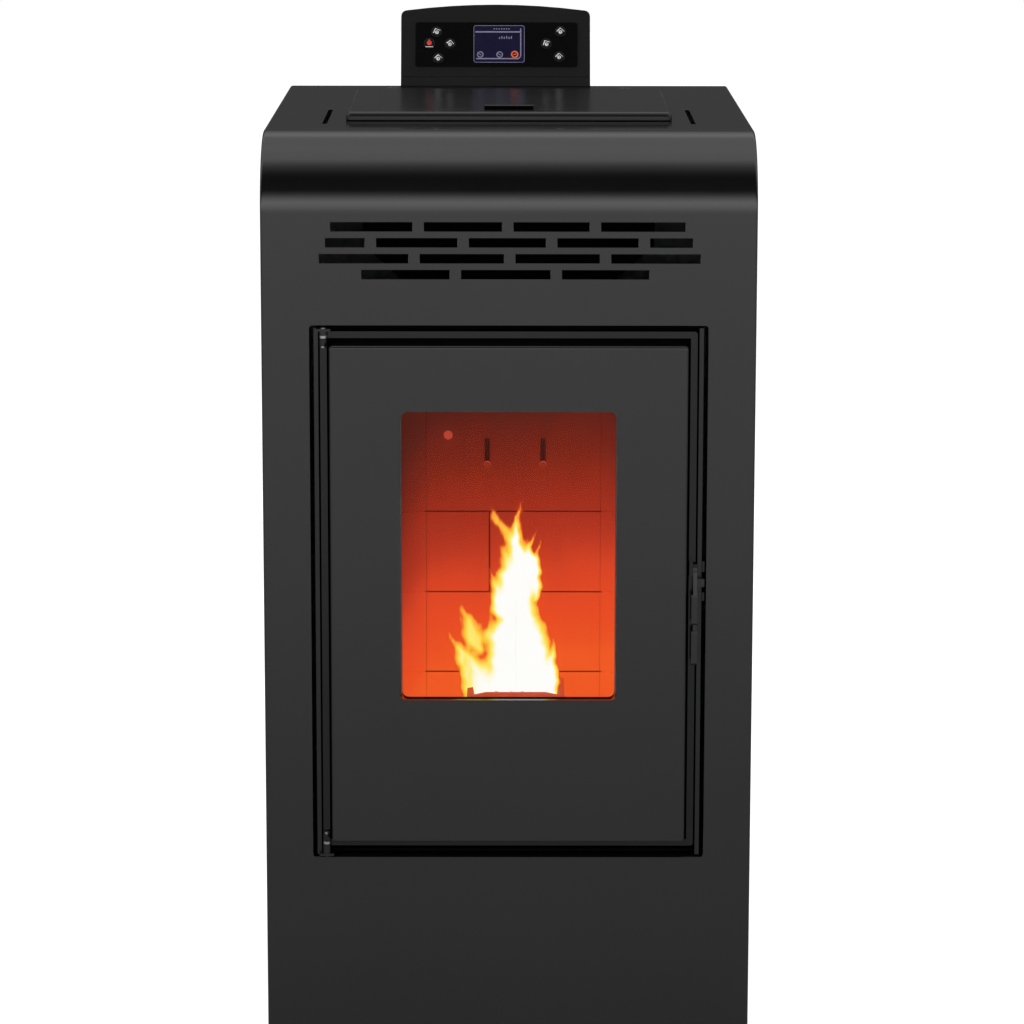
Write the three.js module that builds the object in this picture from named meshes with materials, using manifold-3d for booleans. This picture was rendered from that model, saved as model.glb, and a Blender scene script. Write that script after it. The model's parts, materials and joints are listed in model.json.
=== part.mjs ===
// A pellet stove: a black steel cabinet with a rounded upper bend, a glazed fire door in a recess,
// a pellet hopper under a lid in the flat top, and a control panel that leans back behind it.
//
// Millimetres and degrees. X is to the right, Y runs from the front face to the back, Z is up.
// Places are measured from the middle of the cabinet's front face, at floor level. The finished
// group is moved so that its origin is the middle of the whole outline on the floor.

import * as THREE from 'three';
import { mergeVertices } from 'three/addons/utils/BufferGeometryUtils.js';
import Module from 'manifold-3d';

const wasm = await Module();
wasm.setup();

// ---------------------------------------------------------------- driving dimensions

// Clearances
const FIT = 0.3; // between a piece and the hole or seat that it sits in
const SEAM = 0.3; // between two formed sheets that meet edge to edge
const OVERCUT = 1; // how far a cutting shape runs past the face that it opens

// Casing
const BODY_WIDTH = 480;
const BODY_DEPTH = 570;
const BODY_TOP = 940; // the flat top above the floor
const SHEET = 2;
const BEND_RADIUS = 75; // the big bend from the front to the top
const SIDE_EDGE_RADIUS = 3; // rounding of the casing's left and right edges
const TOP_SKIRT = 20; // the top plate's turned-down edge
const TOP_LIP = 12; // the front panel's tongue under the top plate
const BASE_HEIGHT = 20; // underside of the base plate above the floor
const BASE_RIM = 25;

// Air slots through the front, row by row from the top, each row from left to right
const SLOT_HEIGHT = 8.7;
const SLOT_BRIDGE = 11.4; // metal left between two slots of a row
const SLOT_ROW_PITCH = 15.45;
const SLOT_FIRST_ROW = 86.8; // the first row's middle, below the top
const SLOT_ROWS = [
  { middle: -1.1, widths: [79, 75, 73, 81] },
  { middle: 0, widths: [38, 78, 74, 78, 41] },
  { middle: 0.8, widths: [86, 81, 81, 86] },
  { middle: -3.5, widths: [85, 86, 84] },
];

// Vent slots in the top plate, one at each side of the lid
const VENT_SPACING = 366;
const VENT_WIDTH = 4.5;
const VENT_LENGTH = 157;
const VENT_FRONT = 130; // behind the front face

// Recess round the door
const RECESS_WIDTH = 386.4;
const RECESS_HEIGHT = 532;
const RECESS_DROP = 183; // the recess's upper edge, below the top
const RECESS_RETURN = 26; // the opening's turned-in edge
const RECESS_CORNER = 3;

// Door frame: a plate with a raised rim and a collar that carries the glass
const FRAME_WIDTH = 366.6;
const FRAME_HEIGHT = 515.5;
const FRAME_TOP_GAP = 6; // below the recess's upper edge
const FRAME_FACE = 4; // the rim's face, behind the cabinet's front
const FRAME_DEPTH = 13;
const FRAME_PLATE = 3;
const RIM_WIDTH = 6.7;
const FRAME_CORNER = 3;
const COLLAR_WALL = 12.5;
const COLLAR_REVEAL = 1.5; // how far the collar shows inside the cover's window
const COLLAR_SILL = 4; // the collar's lower inside, below the window's lower edge

// Door cover: a formed tray in front of the frame
const COVER_WIDTH = 348;
const COVER_HEIGHT = 495.8;
const COVER_TOP_GAP = 17.4; // below the recess's upper edge
const COVER_PROUD = 15; // in front of the cabinet's front
const COVER_CORNER = 4;
const COVER_EDGE_RADIUS = 3;

// Window
const WINDOW_WIDTH = 212;
const WINDOW_HEIGHT = 287.2;
const WINDOW_DROP = 264.5; // the window's upper edge, below the top
const WINDOW_CORNER = 6;
const GLASS_THICKNESS = 4;
const GLASS_OVERLAP = 7; // the glass's margin behind the cover

// Door hinge and its pins
const HINGE_INSET = 3.6; // pin axis, in from the frame's left edge
const HINGE_PROUD = 1; // pin axis, in front of the cabinet's front
const HINGE_PIN_RADIUS = 2.6;
const KNUCKLE_RADIUS = 4.2;
const KNUCKLE_LENGTH = 7;
const KNUCKLE_DROP = 6.5; // from the frame's upper or lower edge to the knuckle
const HINGE_COLLAR_RADIUS = 3.9;
const HINGE_COLLAR_HEIGHT = 3.2;
const HINGE_TAB = 14; // width of the ledge's tongue under the boss

// Lever handle and its keeper
const HANDLE_PIVOT_DROP = 422; // below the top
const HANDLE_LENGTH = 95;
const HANDLE_PIN_RADIUS = 2.5;
const HANDLE_EYE_RADIUS = 4.4;
const HANDLE_PLATE = 4;
const GRIP_WIDTH = 6;
const KEEPER_THICKNESS = 3.3;

// Front plate of the firebox, with the flanges that show beside the door
const FRONT_PLATE_WIDTH = 378.4;
const FRONT_PLATE_FACE = 30; // behind the cabinet's front
const STEEL = 3; // plate thickness of the firebox
const FLANGE_THICKNESS = 4.2;
const FLANGE_FACE = 3; // the flanges' front edge, behind the cabinet's front
const LEDGE = 2.5; // thickness of the upper and lower ledge
const LEDGE_FACE = 15; // the ledges' front edge, behind the cabinet's front
const APERTURE_WIDTH = 300;
const APERTURE_MARGIN = 22; // from the frame's lower and upper edge to the opening
const GASKET_WIDTH = 11;
const GASKET_MARGIN = 4; // from the opening to the rope gasket

// Firebox
const FIREBOX_WIDTH = 330;
const FIREBOX_BACK = 251;
const FIREBOX_HEIGHT = 495;
const SHELF_RISE = 85; // the hearth shelf's top, above the firebox's floor
const SHELF_BACK = 215;
const LEG_SPACING = 303;
const LEG_FOOT = 22;
const LEG_FRONT = 60;
const LEG_BACK = 240;
const ASH_SLOT_SPACING = 184; // between the middles of the two slots beside the pot
const ASH_SLOT_WIDTH = 50;
const ASH_SLOT_FRONT = 70;
const ASH_SLOT_BACK = 175;

// Refractory linings
const HEARTH_SHIFT = 5; // the hearth's middle, right of the cabinet's middle
const LINING_FACE = 190; // the back lining's face
const LINING_CENTRE_WIDTH = 178;
const LINING_SPLAY_DEG = 25;
const LINING_SIDE_HALF = 138; // the side linings' faces from the middle
const LINING_FRONT = 45;
const LINING_HEIGHT = 371;
const TILE_FIRST_JOINT = 28.4; // the lowest joint, above the shelf
const TILE_HEIGHT = 84.1;
const TILE_JOINTS = 3;
const TILE_UPRIGHT = -19.4; // the joint between two tiles of the second course
const JOINT_WIDTH = 1.6;
const JOINT_DEPTH = 1.4;
const BAFFLE_THICKNESS = 6;
const BAFFLE_FRONT = 62;

// The two bolts that the back lining hangs on, and a stud
const BOLT_SPACING = 57;
const BOLT_MIDDLE = 6.7;
const BOLT_RISE = 245.5; // above the shelf
const BOLT_RADIUS = 3.6;
const BOLT_PROUD = 7;
const KEYHOLE_WIDTH = 5.4;
const KEYHOLE_LENGTH = 27;
const KEYHOLE_DEPTH = 4;
const STUD_PLACE = -61.6;
const STUD_RISE = 276;
const STUD_RADIUS = 4.6;

// Burn pot
const POT_SHIFT = 7.5; // the pot's middle, right of the cabinet's middle
const POT_WIDTH = 98;
const POT_FRONT = 75;
const POT_DEPTH = 84;
const POT_RISE = 33; // the middle of its rim, above the shelf
const POT_CROWN_WIDTH = 60; // the flat part of the arched rim
const POT_CROWN_DROP = 4.2;
const POT_WALL = 5;
const POT_NECK_INSET = 9; // the part below the shelf is this much narrower at each side
const POT_NECK_DEPTH = 38;
const POT_HOLE_RADIUS = 2.6;
const POT_HOLE_PITCH = 14;

// Air box under the pot, and the pipe that feeds it
const AIR_BOX_MARGIN = 8; // round the pot's neck
const AIR_BOX_DEPTH = 45;
const INTAKE_RADIUS = 21;
const INTAKE_WALL = 1.5;
const INTAKE_PLACE = -22; // right of the middle
const PIPE_REACH = 50; // how far both pipes stand out behind the casing

// Igniter
const IGNITER_RADIUS = 5;
const IGNITER_PLACE = 10;
const IGNITER_DROP = 20; // below the shelf's top
const IGNITER_TAIL = 40; // behind the firebox

// Ash drawer
const DRAWER_WIDTH = 280;
const DRAWER_HEIGHT = 34;
const DRAWER_FRONT = 42;
const DRAWER_WALL = 1.5;

// Hopper
const HOPPER_WIDTH = 300;
const HOPPER_FRONT = 175;
const HOPPER_BACK = 470;
const HOPPER_STRAIGHT = 35; // depth of the upright front wall, below the top
const HOPPER_SIDE_STRAIGHT = 140; // depth of the upright side walls
const HOPPER_WALL = 1.5;
const HOPPER_FLANGE = 10;
const THROAT_WIDTH = 56;
const THROAT_LENGTH = 56;
const THROAT_HEIGHT = 12;
const FILL_WIDTH = 292;
const FILL_FRONT = 182;
const FILL_BACK = 424;
const GRATE_DROP = 16;
const GRATE_THICKNESS = 3;
const GRATE_BARS = 9;
const GRATE_CROSS_BARS = 2;
const GRATE_LEDGE = 7; // width of the ledge that it lies on, at each side
const GRATE_BAR_WIDTH = 5;

// Hopper lid
const LID_WIDTH = 326;
const LID_FRONT = 161;
const LID_BACK = 440;
const LID_GAP = 0.6;
const LID_HEIGHT = 8.8; // its top above the flat top
const LID_ROLL = 5.4; // radius of its rolled edge
const LID_FRONT_CORNER = 7;
const LID_BACK_CORNER = 18;
const LID_HINGE_SPACING = 248;
const LID_HINGE_BEHIND = 9; // the pin, behind the lid
const LID_HINGE_RISE = 5;
const LID_KNUCKLE_RADIUS = 3.6;
const LID_PIN_RADIUS = 1.8;
const LID_KNUCKLE_LENGTH = 6;
const LID_LEAF = 1.6; // thickness of the hinge's leaf
const SEAL_WIDTH = 6;
const PULL_WIDTH = 50;
const PULL_FRONT = 190;
const PULL_DEPTH = 22;
const PULL_HEIGHT = 5;

// Auger: a screw in a tube that climbs from under the hopper to the firebox
const AUGER_CLIMB_DEG = 45;
const AUGER_LOW_Y = 470;
const AUGER_LOW_DROP = 390; // its low end, below the top
const AUGER_LENGTH = 262;
const AUGER_RADIUS = 30;
const AUGER_WALL = 2.5;
const FLIGHT_RADIUS = 26;
const FLIGHT_PITCH = 45;
const FLIGHT_THICKNESS = 2.5;
const FLIGHT_STEPS = 12; // per turn
const AUGER_SHAFT_RADIUS = 6;
const CHUTE_WIDTH = 50;
const CHUTE_HEIGHT = 40;
const CHUTE_RISE = 308; // the chute's lower lip, above the shelf
const CHUTE_SLOPE_DEG = 31.7;
const CHUTE_WALL = 2;

// Exhaust fan and flue
const EXHAUST_PLACE = 92;
const EXHAUST_RISE = 50; // its middle, above the firebox's floor
const EXHAUST_RADIUS = 68;
const EXHAUST_DEPTH = 84;
const EXHAUST_WALL = 2;
const EXHAUST_INLET_RADIUS = 30;
const IMPELLER_RADIUS = 50;
const IMPELLER_DEPTH = 44;
const IMPELLER_BLADES = 8;
const FLUE_RADIUS = 40; // an 80 mm flue
const FLUE_WALL = 1.6;
const FLUE_HEIGHT = 140; // its middle above the floor
const FLUE_BEND_RADIUS = 75;

// Room fan
const ROOM_FAN_Y = 150;
const ROOM_FAN_HEIGHT = 96; // its middle above the floor
const ROTOR_RADIUS = 30;
const ROTOR_LENGTH = 176;
const ROTOR_BLADES = 20;
const ROTOR_MIDDLE = -10;
const MOTOR_SHAFT_RADIUS = 4;
const SCROLL_CLEARANCE = 6;

// Control panel
const PANEL_SHIFT = -14.5; // its middle, right of the cabinet's middle
const PANEL_LEAN_DEG = 20.2;
const PANEL_SETBACK = 6; // its foot, in front of the casing's back
const PANEL_WIDTH = 207.6;
const PANEL_CORNER_HEIGHT = 85.5; // along its slope
const PANEL_CROWN = 7; // how far the arched top rises in the middle
const PANEL_CORNER = 7;
const PANEL_DEPTH = 22;
const PANEL_WALL = 2.5;
const PANEL_FOOT = 9.5; // the strip below the groove
const PANEL_GROOVE = 1.6;
const FASCIA_WIDTH = 177.6;
const FASCIA_HEIGHT = 50.6;
const FASCIA_RISE = 21.1;
const FASCIA_SHIFT = 1;
const FASCIA_THICKNESS = 2;
const DISPLAY_WIDTH = 56.3;
const DISPLAY_HEIGHT = 42.5;
const DISPLAY_SHIFT = 3.9;
const DISPLAY_RISE = 26;
const DISPLAY_THICKNESS = 1.8;
const KEY_RADIUS = 6;
const KEY_STEM_RADIUS = 2;
const KEY_TRAVEL = 0.6;
const KEY_PROUD = 0.7;
const KEYS = [
  { name: 'key_left_top', across: -64.8, up: 60.7 },
  { name: 'key_power', across: -72.8, up: 47.5 },
  { name: 'key_left_inner', across: -49.9, up: 47.2 },
  { name: 'key_left_bottom', across: -62.9, up: 30.8 },
  { name: 'key_right_top', across: 71.1, up: 61.3 },
  { name: 'key_right_inner', across: 55.5, up: 47.3 },
  { name: 'key_right_bottom', across: 69.7, up: 32.6 },
];

// Mains inlet and rocker switch, one module on the back
const INLET_PLACE = -170;
const INLET_HEIGHT = 110;
const INLET_WIDTH = 28;
const INLET_BODY_HEIGHT = 56;
const INLET_FLANGE = 4;
const ROCKER_TILT_DEG = 7;

// Air grille in the back panel: two columns of slots
const GRILLE_ROWS = 7;
const GRILLE_PITCH = 13;
const GRILLE_LOW = 70; // the lowest slot's middle above the floor
const GRILLE_MIDDLE = -45;
const GRILLE_SPACING = 68; // between the two columns' middles
const GRILLE_SLOT_WIDTH = 58;
const GRILLE_SLOT_HEIGHT = 5;

// Feet
const FOOT_RADIUS = 20;
const FOOT_PAD = 9; // height of the pad
const FOOT_NUT_RADIUS = 8;
const FOOT_INSET_X = 35;
const FOOT_INSET_Y = 50;
const STUD_THREAD_RADIUS = 4;

// ---------------------------------------------------------------- worked-out places

const HALF_WIDTH = BODY_WIDTH / 2;
const BASE_TOP = BASE_HEIGHT + SHEET;
const RECESS_TOP = BODY_TOP - RECESS_DROP;
const RECESS_BOTTOM = RECESS_TOP - RECESS_HEIGHT;
const FRAME_TOP = RECESS_TOP - FRAME_TOP_GAP;
const FRAME_BOTTOM = FRAME_TOP - FRAME_HEIGHT;
const FRAME_BACK = FRAME_FACE + FRAME_DEPTH;
const COVER_TOP = RECESS_TOP - COVER_TOP_GAP;
const COVER_BOTTOM = COVER_TOP - COVER_HEIGHT;
const WINDOW_TOP = BODY_TOP - WINDOW_DROP;
const WINDOW_BOTTOM = WINDOW_TOP - WINDOW_HEIGHT;
const GLASS_FACE = SHEET + FIT - COVER_PROUD;
const HINGE_X = HINGE_INSET - FRAME_WIDTH / 2;
const HINGE_Y = -HINGE_PROUD;
const PLATE_TOP = RECESS_TOP - 2.5;
const PLATE_BOTTOM = RECESS_BOTTOM + 2;
const FLANGE_OUTER = FRONT_PLATE_WIDTH / 2;
const FLANGE_INNER = FLANGE_OUTER - FLANGE_THICKNESS;
const APERTURE_TOP = FRAME_TOP - APERTURE_MARGIN + 4;
const APERTURE_BOTTOM = FRAME_BOTTOM + APERTURE_MARGIN - 1.5;
const FIREBOX_FRONT = FRONT_PLATE_FACE + STEEL;
const FLOOR_TOP = APERTURE_BOTTOM;
const FIREBOX_BOTTOM = FLOOR_TOP - STEEL;
const FIREBOX_TOP = FIREBOX_BOTTOM + FIREBOX_HEIGHT;
const FIREBOX_INNER_HALF = FIREBOX_WIDTH / 2 - STEEL;
const SHELF_TOP = FLOOR_TOP + SHELF_RISE;
const SHELF_UNDERSIDE = SHELF_TOP - STEEL;
const LINING_TOP = SHELF_TOP + FIT + LINING_HEIGHT;
const AIR_BOX_BACK = POT_FRONT + POT_DEPTH - POT_NECK_INSET + AIR_BOX_MARGIN + 5;
const INTAKE_HEIGHT = SHELF_UNDERSIDE - AIR_BOX_DEPTH / 2;
const IGNITER_HEIGHT = SHELF_TOP - IGNITER_DROP;
const PIPE_END = BODY_DEPTH + PIPE_REACH;
const AUGER_LOW_Z = BODY_TOP - AUGER_LOW_DROP;
const AUGER_LINE = AUGER_LOW_Y + AUGER_LOW_Z; // y + z along the axis, which climbs at 45 degrees
const THROAT_BACK = HOPPER_BACK - 2;
const THROAT_FRONT = THROAT_BACK - THROAT_LENGTH;
const THROAT_BOTTOM = AUGER_LINE + AUGER_RADIUS * Math.SQRT2 - THROAT_FRONT + 5.6;
const THROAT_TOP = THROAT_BOTTOM + THROAT_HEIGHT;
const EXHAUST_Z = FLOOR_TOP + EXHAUST_RISE;
const EXHAUST_FRONT = FIREBOX_BACK + FIT;
const EXHAUST_BACK = EXHAUST_FRONT + EXHAUST_DEPTH;
const STUB_HALF = FLUE_RADIUS + EXHAUST_WALL;
const FLUE_X = EXHAUST_PLACE + EXHAUST_RADIUS - STUB_HALF;
const FLUE_Y = (EXHAUST_FRONT + EXHAUST_BACK) / 2;
const STUB_BOTTOM = EXHAUST_Z - EXHAUST_RADIUS - 12;
const LID_HINGE_Y = LID_BACK + LID_HINGE_BEHIND;
const LID_HINGE_Z = BODY_TOP + LID_HINGE_RISE;
const PANEL_Y = BODY_DEPTH - PANEL_SETBACK;
const HANDLE_PIVOT_Z = BODY_TOP - HANDLE_PIVOT_DROP;
const HANDLE_RIGHT = FRAME_WIDTH / 2 + 1.2;
const HANDLE_LEFT = HANDLE_RIGHT - HANDLE_PLATE;
const BACK_FACE = BODY_DEPTH - SHEET; // the back panel's inner face

// ---------------------------------------------------------------- solids and shapes

function toSolid(geometry) {
  const bare = geometry.index ? geometry.toNonIndexed() : geometry.clone();
  bare.deleteAttribute('normal');
  bare.deleteAttribute('uv');
  const merged = mergeVertices(bare, 1e-4);
  const mesh = new wasm.Mesh({
    numProp: 3,
    vertProperties: new Float32Array(merged.attributes.position.array),
    triVerts: new Uint32Array(merged.index.array),
  });
  return new wasm.Manifold(mesh);
}

function toGeometry(solid) {
  const mesh = solid.getMesh();
  const geometry = new THREE.BufferGeometry();
  geometry.setAttribute('position', new THREE.BufferAttribute(mesh.vertProperties, 3));
  geometry.setIndex(new THREE.BufferAttribute(mesh.triVerts, 1));
  const flat = geometry.toNonIndexed();
  flat.computeVertexNormals();
  return flat;
}

function join(...geometries) {
  const solids = geometries.map(toSolid);
  return toGeometry(solids.reduce((whole, next) => whole.add(next)));
}

function cut(geometry, ...tools) {
  const solids = tools.map(toSolid);
  return toGeometry(solids.reduce((whole, tool) => whole.subtract(tool), toSolid(geometry)));
}

function common(first, second) {
  return toGeometry(toSolid(first).intersect(toSolid(second)));
}

// A box between two values along each axis.
function block(x0, x1, y0, y1, z0, z1) {
  const box = new THREE.BoxGeometry(x1 - x0, y1 - y0, z1 - z0);
  return box.translate((x0 + x1) / 2, (y0 + y1) / 2, (z0 + z1) / 2);
}

function rodX(radius, x0, x1, y, z, sides = 16) {
  const rod = new THREE.CylinderGeometry(radius, radius, x1 - x0, sides);
  return rod.rotateZ(Math.PI / 2).translate((x0 + x1) / 2, y, z);
}

function rodY(radius, y0, y1, x, z, sides = 16) {
  const rod = new THREE.CylinderGeometry(radius, radius, y1 - y0, sides);
  return rod.translate(x, (y0 + y1) / 2, z);
}

function rodZ(radius, z0, z1, x, y, sides = 16) {
  const rod = new THREE.CylinderGeometry(radius, radius, z1 - z0, sides);
  return rod.rotateX(Math.PI / 2).translate(x, y, (z0 + z1) / 2);
}

function shapeOf(points) {
  return new THREE.Shape(points.map(([a, b]) => new THREE.Vector2(a, b)));
}

function extrude(shape, length, curveSegments = 4) {
  return new THREE.ExtrudeGeometry(shape, { depth: length, bevelEnabled: false, curveSegments });
}

// A prism along X; its outline's points are [y, z].
function prismX(outline, x0, x1) {
  const turn = new THREE.Matrix4().set(0, 0, 1, x0, 1, 0, 0, 0, 0, 1, 0, 0, 0, 0, 0, 1);
  return extrude(shapeOf(outline), x1 - x0).applyMatrix4(turn);
}

// A prism along Y; its outline is a THREE.Shape or a list of [x, z].
function prismY(outline, y0, y1, curveSegments = 4) {
  const shape = Array.isArray(outline) ? shapeOf(outline) : outline;
  return extrude(shape, y1 - y0, curveSegments).rotateX(Math.PI / 2).translate(0, y1, 0);
}

// A prism along Z; its outline's points are [x, y].
function prismZ(outline, z0, z1) {
  const shape = Array.isArray(outline) ? shapeOf(outline) : outline;
  return extrude(shape, z1 - z0).translate(0, 0, z0);
}

// A rectangle with round corners, from (a0, b0) to (a1, b1).
function roundedRectangle(a0, a1, b0, b1, radius) {
  const shape = new THREE.Shape();
  shape.moveTo(a0 + radius, b0);
  shape.lineTo(a1 - radius, b0);
  shape.absarc(a1 - radius, b0 + radius, radius, -Math.PI / 2, 0);
  shape.lineTo(a1, b1 - radius);
  shape.absarc(a1 - radius, b1 - radius, radius, 0, Math.PI / 2);
  shape.lineTo(a0 + radius, b1);
  shape.absarc(a0 + radius, b1 - radius, radius, Math.PI / 2, Math.PI);
  shape.lineTo(a0, b0 + radius);
  shape.absarc(a0 + radius, b0 + radius, radius, Math.PI, 1.5 * Math.PI);
  return shape;
}

// A closed solid through rings of points. Every ring has the same number of points, turns the same
// way when seen from the last ring, and is flat and convex.
function loft(rings) {
  const count = rings[0].length;
  const corners = [];
  const face = (a, b, c) => corners.push(...a.toArray(), ...b.toArray(), ...c.toArray());
  for (let i = 0; i + 1 < rings.length; i += 1) {
    for (let k = 0; k < count; k += 1) {
      const next = (k + 1) % count;
      face(rings[i][k], rings[i][next], rings[i + 1][next]);
      face(rings[i][k], rings[i + 1][next], rings[i + 1][k]);
    }
  }
  const first = rings[0];
  const last = rings[rings.length - 1];
  for (let k = 1; k + 1 < count; k += 1) {
    face(first[0], first[k + 1], first[k]);
    face(last[0], last[k], last[k + 1]);
  }
  const geometry = new THREE.BufferGeometry();
  geometry.setAttribute('position', new THREE.Float32BufferAttribute(corners, 3));
  return geometry;
}

// Insets and distances of a quarter-round edge, from the outermost face inwards.
function quarterRound(radius, steps) {
  return Array.from({ length: steps + 1 }, (_, k) => {
    const angle = (k / steps) * Math.PI / 2;
    return { inset: radius * (1 - Math.sin(angle)), along: radius * (1 - Math.cos(angle)) };
  });
}

function material(colour, roughness, metalness) {
  return new THREE.MeshStandardMaterial({ color: colour, roughness, metalness });
}

const finishes = {
  paint: () => material(0x3a3a3a, 0.42, 0.3),
  doorPaint: () => material(0x3d3d3d, 0.4, 0.3),
  frameSteel: () => material(0x4a4a4a, 0.5, 0.6),
  innerSteel: () => material(0x2c2b2a, 0.6, 0.6),
  brightSteel: () => material(0xb9b9b6, 0.3, 1),
  zincSteel: () => material(0x9a9c9e, 0.45, 0.9),
  castIron: () => material(0x35302d, 0.75, 0.5),
  refractory: () => material(0xb5583a, 0.95, 0),
  rope: () => material(0x55524c, 0.95, 0),
  glass: () => material(0x40180e, 0.08, 0),
  moulded: () => material(0x2e2f31, 0.5, 0),
  fascia: () => material(0x0d0d10, 0.18, 0),
  screen: () => material(0x232a5c, 0.12, 0),
  keyCap: () => material(0x1a1a1c, 0.35, 0),
  powerCap: () => material(0xb03228, 0.35, 0),
  circuit: () => material(0x1f5a36, 0.6, 0),
  rubber: () => material(0x1b1b1b, 0.85, 0),
};

const stove = new THREE.Group();

function group(name, parent = stove) {
  const made = new THREE.Group();
  made.name = name;
  parent.add(made);
  return made;
}

function addPiece(parent, name, geometry, finish) {
  const mesh = new THREE.Mesh(geometry, finishes[finish]());
  mesh.name = name;
  parent.add(mesh);
  return mesh;
}

// ---------------------------------------------------------------- casing

// The casing's side view, inset all round its front and top by a distance.
function casingOutline(inset, x) {
  const bottom = BASE_HEIGHT;
  const points = [new THREE.Vector3(x, BODY_DEPTH, bottom), new THREE.Vector3(x, inset, bottom)];
  const steps = 16;
  for (let k = 0; k <= steps; k += 1) {
    const angle = Math.PI - (k / steps) * Math.PI / 2;
    const reach = BEND_RADIUS - inset;
    const y = BEND_RADIUS + reach * Math.cos(angle);
    const z = BODY_TOP - BEND_RADIUS + reach * Math.sin(angle);
    points.push(new THREE.Vector3(x, y, z));
  }
  points.push(new THREE.Vector3(x, BODY_DEPTH, BODY_TOP - inset));
  return points;
}

// The sheet that wraps front, sides and top, before it is divided into panels.
function casingShell() {
  const edge = quarterRound(SIDE_EDGE_RADIUS, 3);
  const right = edge.map(({ inset, along }) => casingOutline(inset, HALF_WIDTH - along));
  const left = edge.map(({ inset, along }) => casingOutline(inset, along - HALF_WIDTH));
  const outside = loft([...right, ...left.reverse()]);
  const innerHalf = HALF_WIDTH - SHEET;
  const inside = loft([casingOutline(SHEET, innerHalf), casingOutline(SHEET, -innerHalf)]);
  const opened = join(
    inside,
    block(-innerHalf, innerHalf, SHEET, BODY_DEPTH + OVERCUT, 0, BODY_TOP - BEND_RADIUS - SHEET),
    block(-innerHalf, innerHalf, BEND_RADIUS, BODY_DEPTH + OVERCUT, 0, BODY_TOP - SHEET),
  );
  return cut(outside, opened);
}

function airSlots() {
  return SLOT_ROWS.flatMap(({ middle, widths }, row) => {
    const total = widths.reduce((sum, width) => sum + width, 0) + SLOT_BRIDGE * (widths.length - 1);
    const z = BODY_TOP - SLOT_FIRST_ROW - SLOT_ROW_PITCH * row;
    let left = middle - total / 2;
    return widths.map((width) => {
      const slot = block(left, left + width, -OVERCUT, SHEET + OVERCUT,
        z - SLOT_HEIGHT / 2, z + SLOT_HEIGHT / 2);
      left += width + SLOT_BRIDGE;
      return slot;
    });
  });
}

function frontPanel(shell) {
  const everything = BODY_TOP + OVERCUT;
  const front = common(shell, block(-BODY_WIDTH, BODY_WIDTH, -OVERCUT, BEND_RADIUS, 0, everything));
  const half = RECESS_WIDTH / 2;
  const outer = roundedRectangle(-half - SHEET, half + SHEET, RECESS_BOTTOM - SHEET,
    RECESS_TOP + SHEET, RECESS_CORNER + SHEET);
  const opening = roundedRectangle(-half, half, RECESS_BOTTOM, RECESS_TOP, RECESS_CORNER);
  const turnedIn = prismY(outer, SHEET / 2, RECESS_RETURN);
  const tongueHalf = HALF_WIDTH - SHEET - 4;
  const tongueFront = BEND_RADIUS - 6;
  const tongueTop = BODY_TOP - SHEET;
  const tongue = block(-tongueHalf, tongueHalf, tongueFront, BEND_RADIUS + TOP_LIP,
    tongueTop - SHEET, tongueTop);
  const tongueRoot = block(-tongueHalf, tongueHalf, tongueFront, BEND_RADIUS,
    tongueTop - SHEET, BODY_TOP - SHEET / 2);
  const whole = join(front, turnedIn, tongue, tongueRoot);
  return cut(whole, prismY(opening, -OVERCUT, RECESS_RETURN + OVERCUT), ...airSlots());
}

function topPlate(shell) {
  const front = BEND_RADIUS + SEAM;
  const skirt = BODY_TOP - TOP_SKIRT;
  const plate = common(shell, block(-BODY_WIDTH, BODY_WIDTH, front, BODY_DEPTH, skirt,
    BODY_TOP + OVERCUT));
  const low = BODY_TOP - SHEET - OVERCUT;
  const high = BODY_TOP + OVERCUT;
  const vents = [-1, 1].map((side) => {
    const x = side * VENT_SPACING / 2;
    return block(x - VENT_WIDTH / 2, x + VENT_WIDTH / 2, VENT_FRONT, VENT_FRONT + VENT_LENGTH,
      low, high);
  });
  const fill = block(-FILL_WIDTH / 2, FILL_WIDTH / 2, FILL_FRONT, FILL_BACK, low, high);
  return cut(plate, fill, ...vents);
}

function sidePanel(shell, side) {
  const far = side * BODY_WIDTH;
  return common(shell, block(Math.min(0, far), Math.max(0, far), BEND_RADIUS + SEAM,
    BODY_DEPTH, 0, BODY_TOP - TOP_SKIRT - SEAM));
}

function footPlaces() {
  const x = HALF_WIDTH - FOOT_INSET_X;
  return [
    { name: 'foot_front_left', x: -x, y: FOOT_INSET_Y },
    { name: 'foot_front_right', x, y: FOOT_INSET_Y },
    { name: 'foot_rear_left', x: -x, y: BODY_DEPTH - FOOT_INSET_Y },
    { name: 'foot_rear_right', x, y: BODY_DEPTH - FOOT_INSET_Y },
  ];
}

function basePlate() {
  const half = HALF_WIDTH - SHEET;
  const tray = block(-half, half, SHEET, BACK_FACE, BASE_HEIGHT, BASE_TOP + BASE_RIM);
  const hollow = block(-half + SHEET, half - SHEET, 2 * SHEET, BACK_FACE - SHEET, BASE_TOP,
    BASE_TOP + BASE_RIM + OVERCUT);
  const holes = footPlaces().map(({ x, y }) => rodZ(STUD_THREAD_RADIUS + FIT,
    BASE_HEIGHT - OVERCUT, BASE_TOP + OVERCUT, x, y));
  return cut(tray, hollow, ...holes);
}

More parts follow.
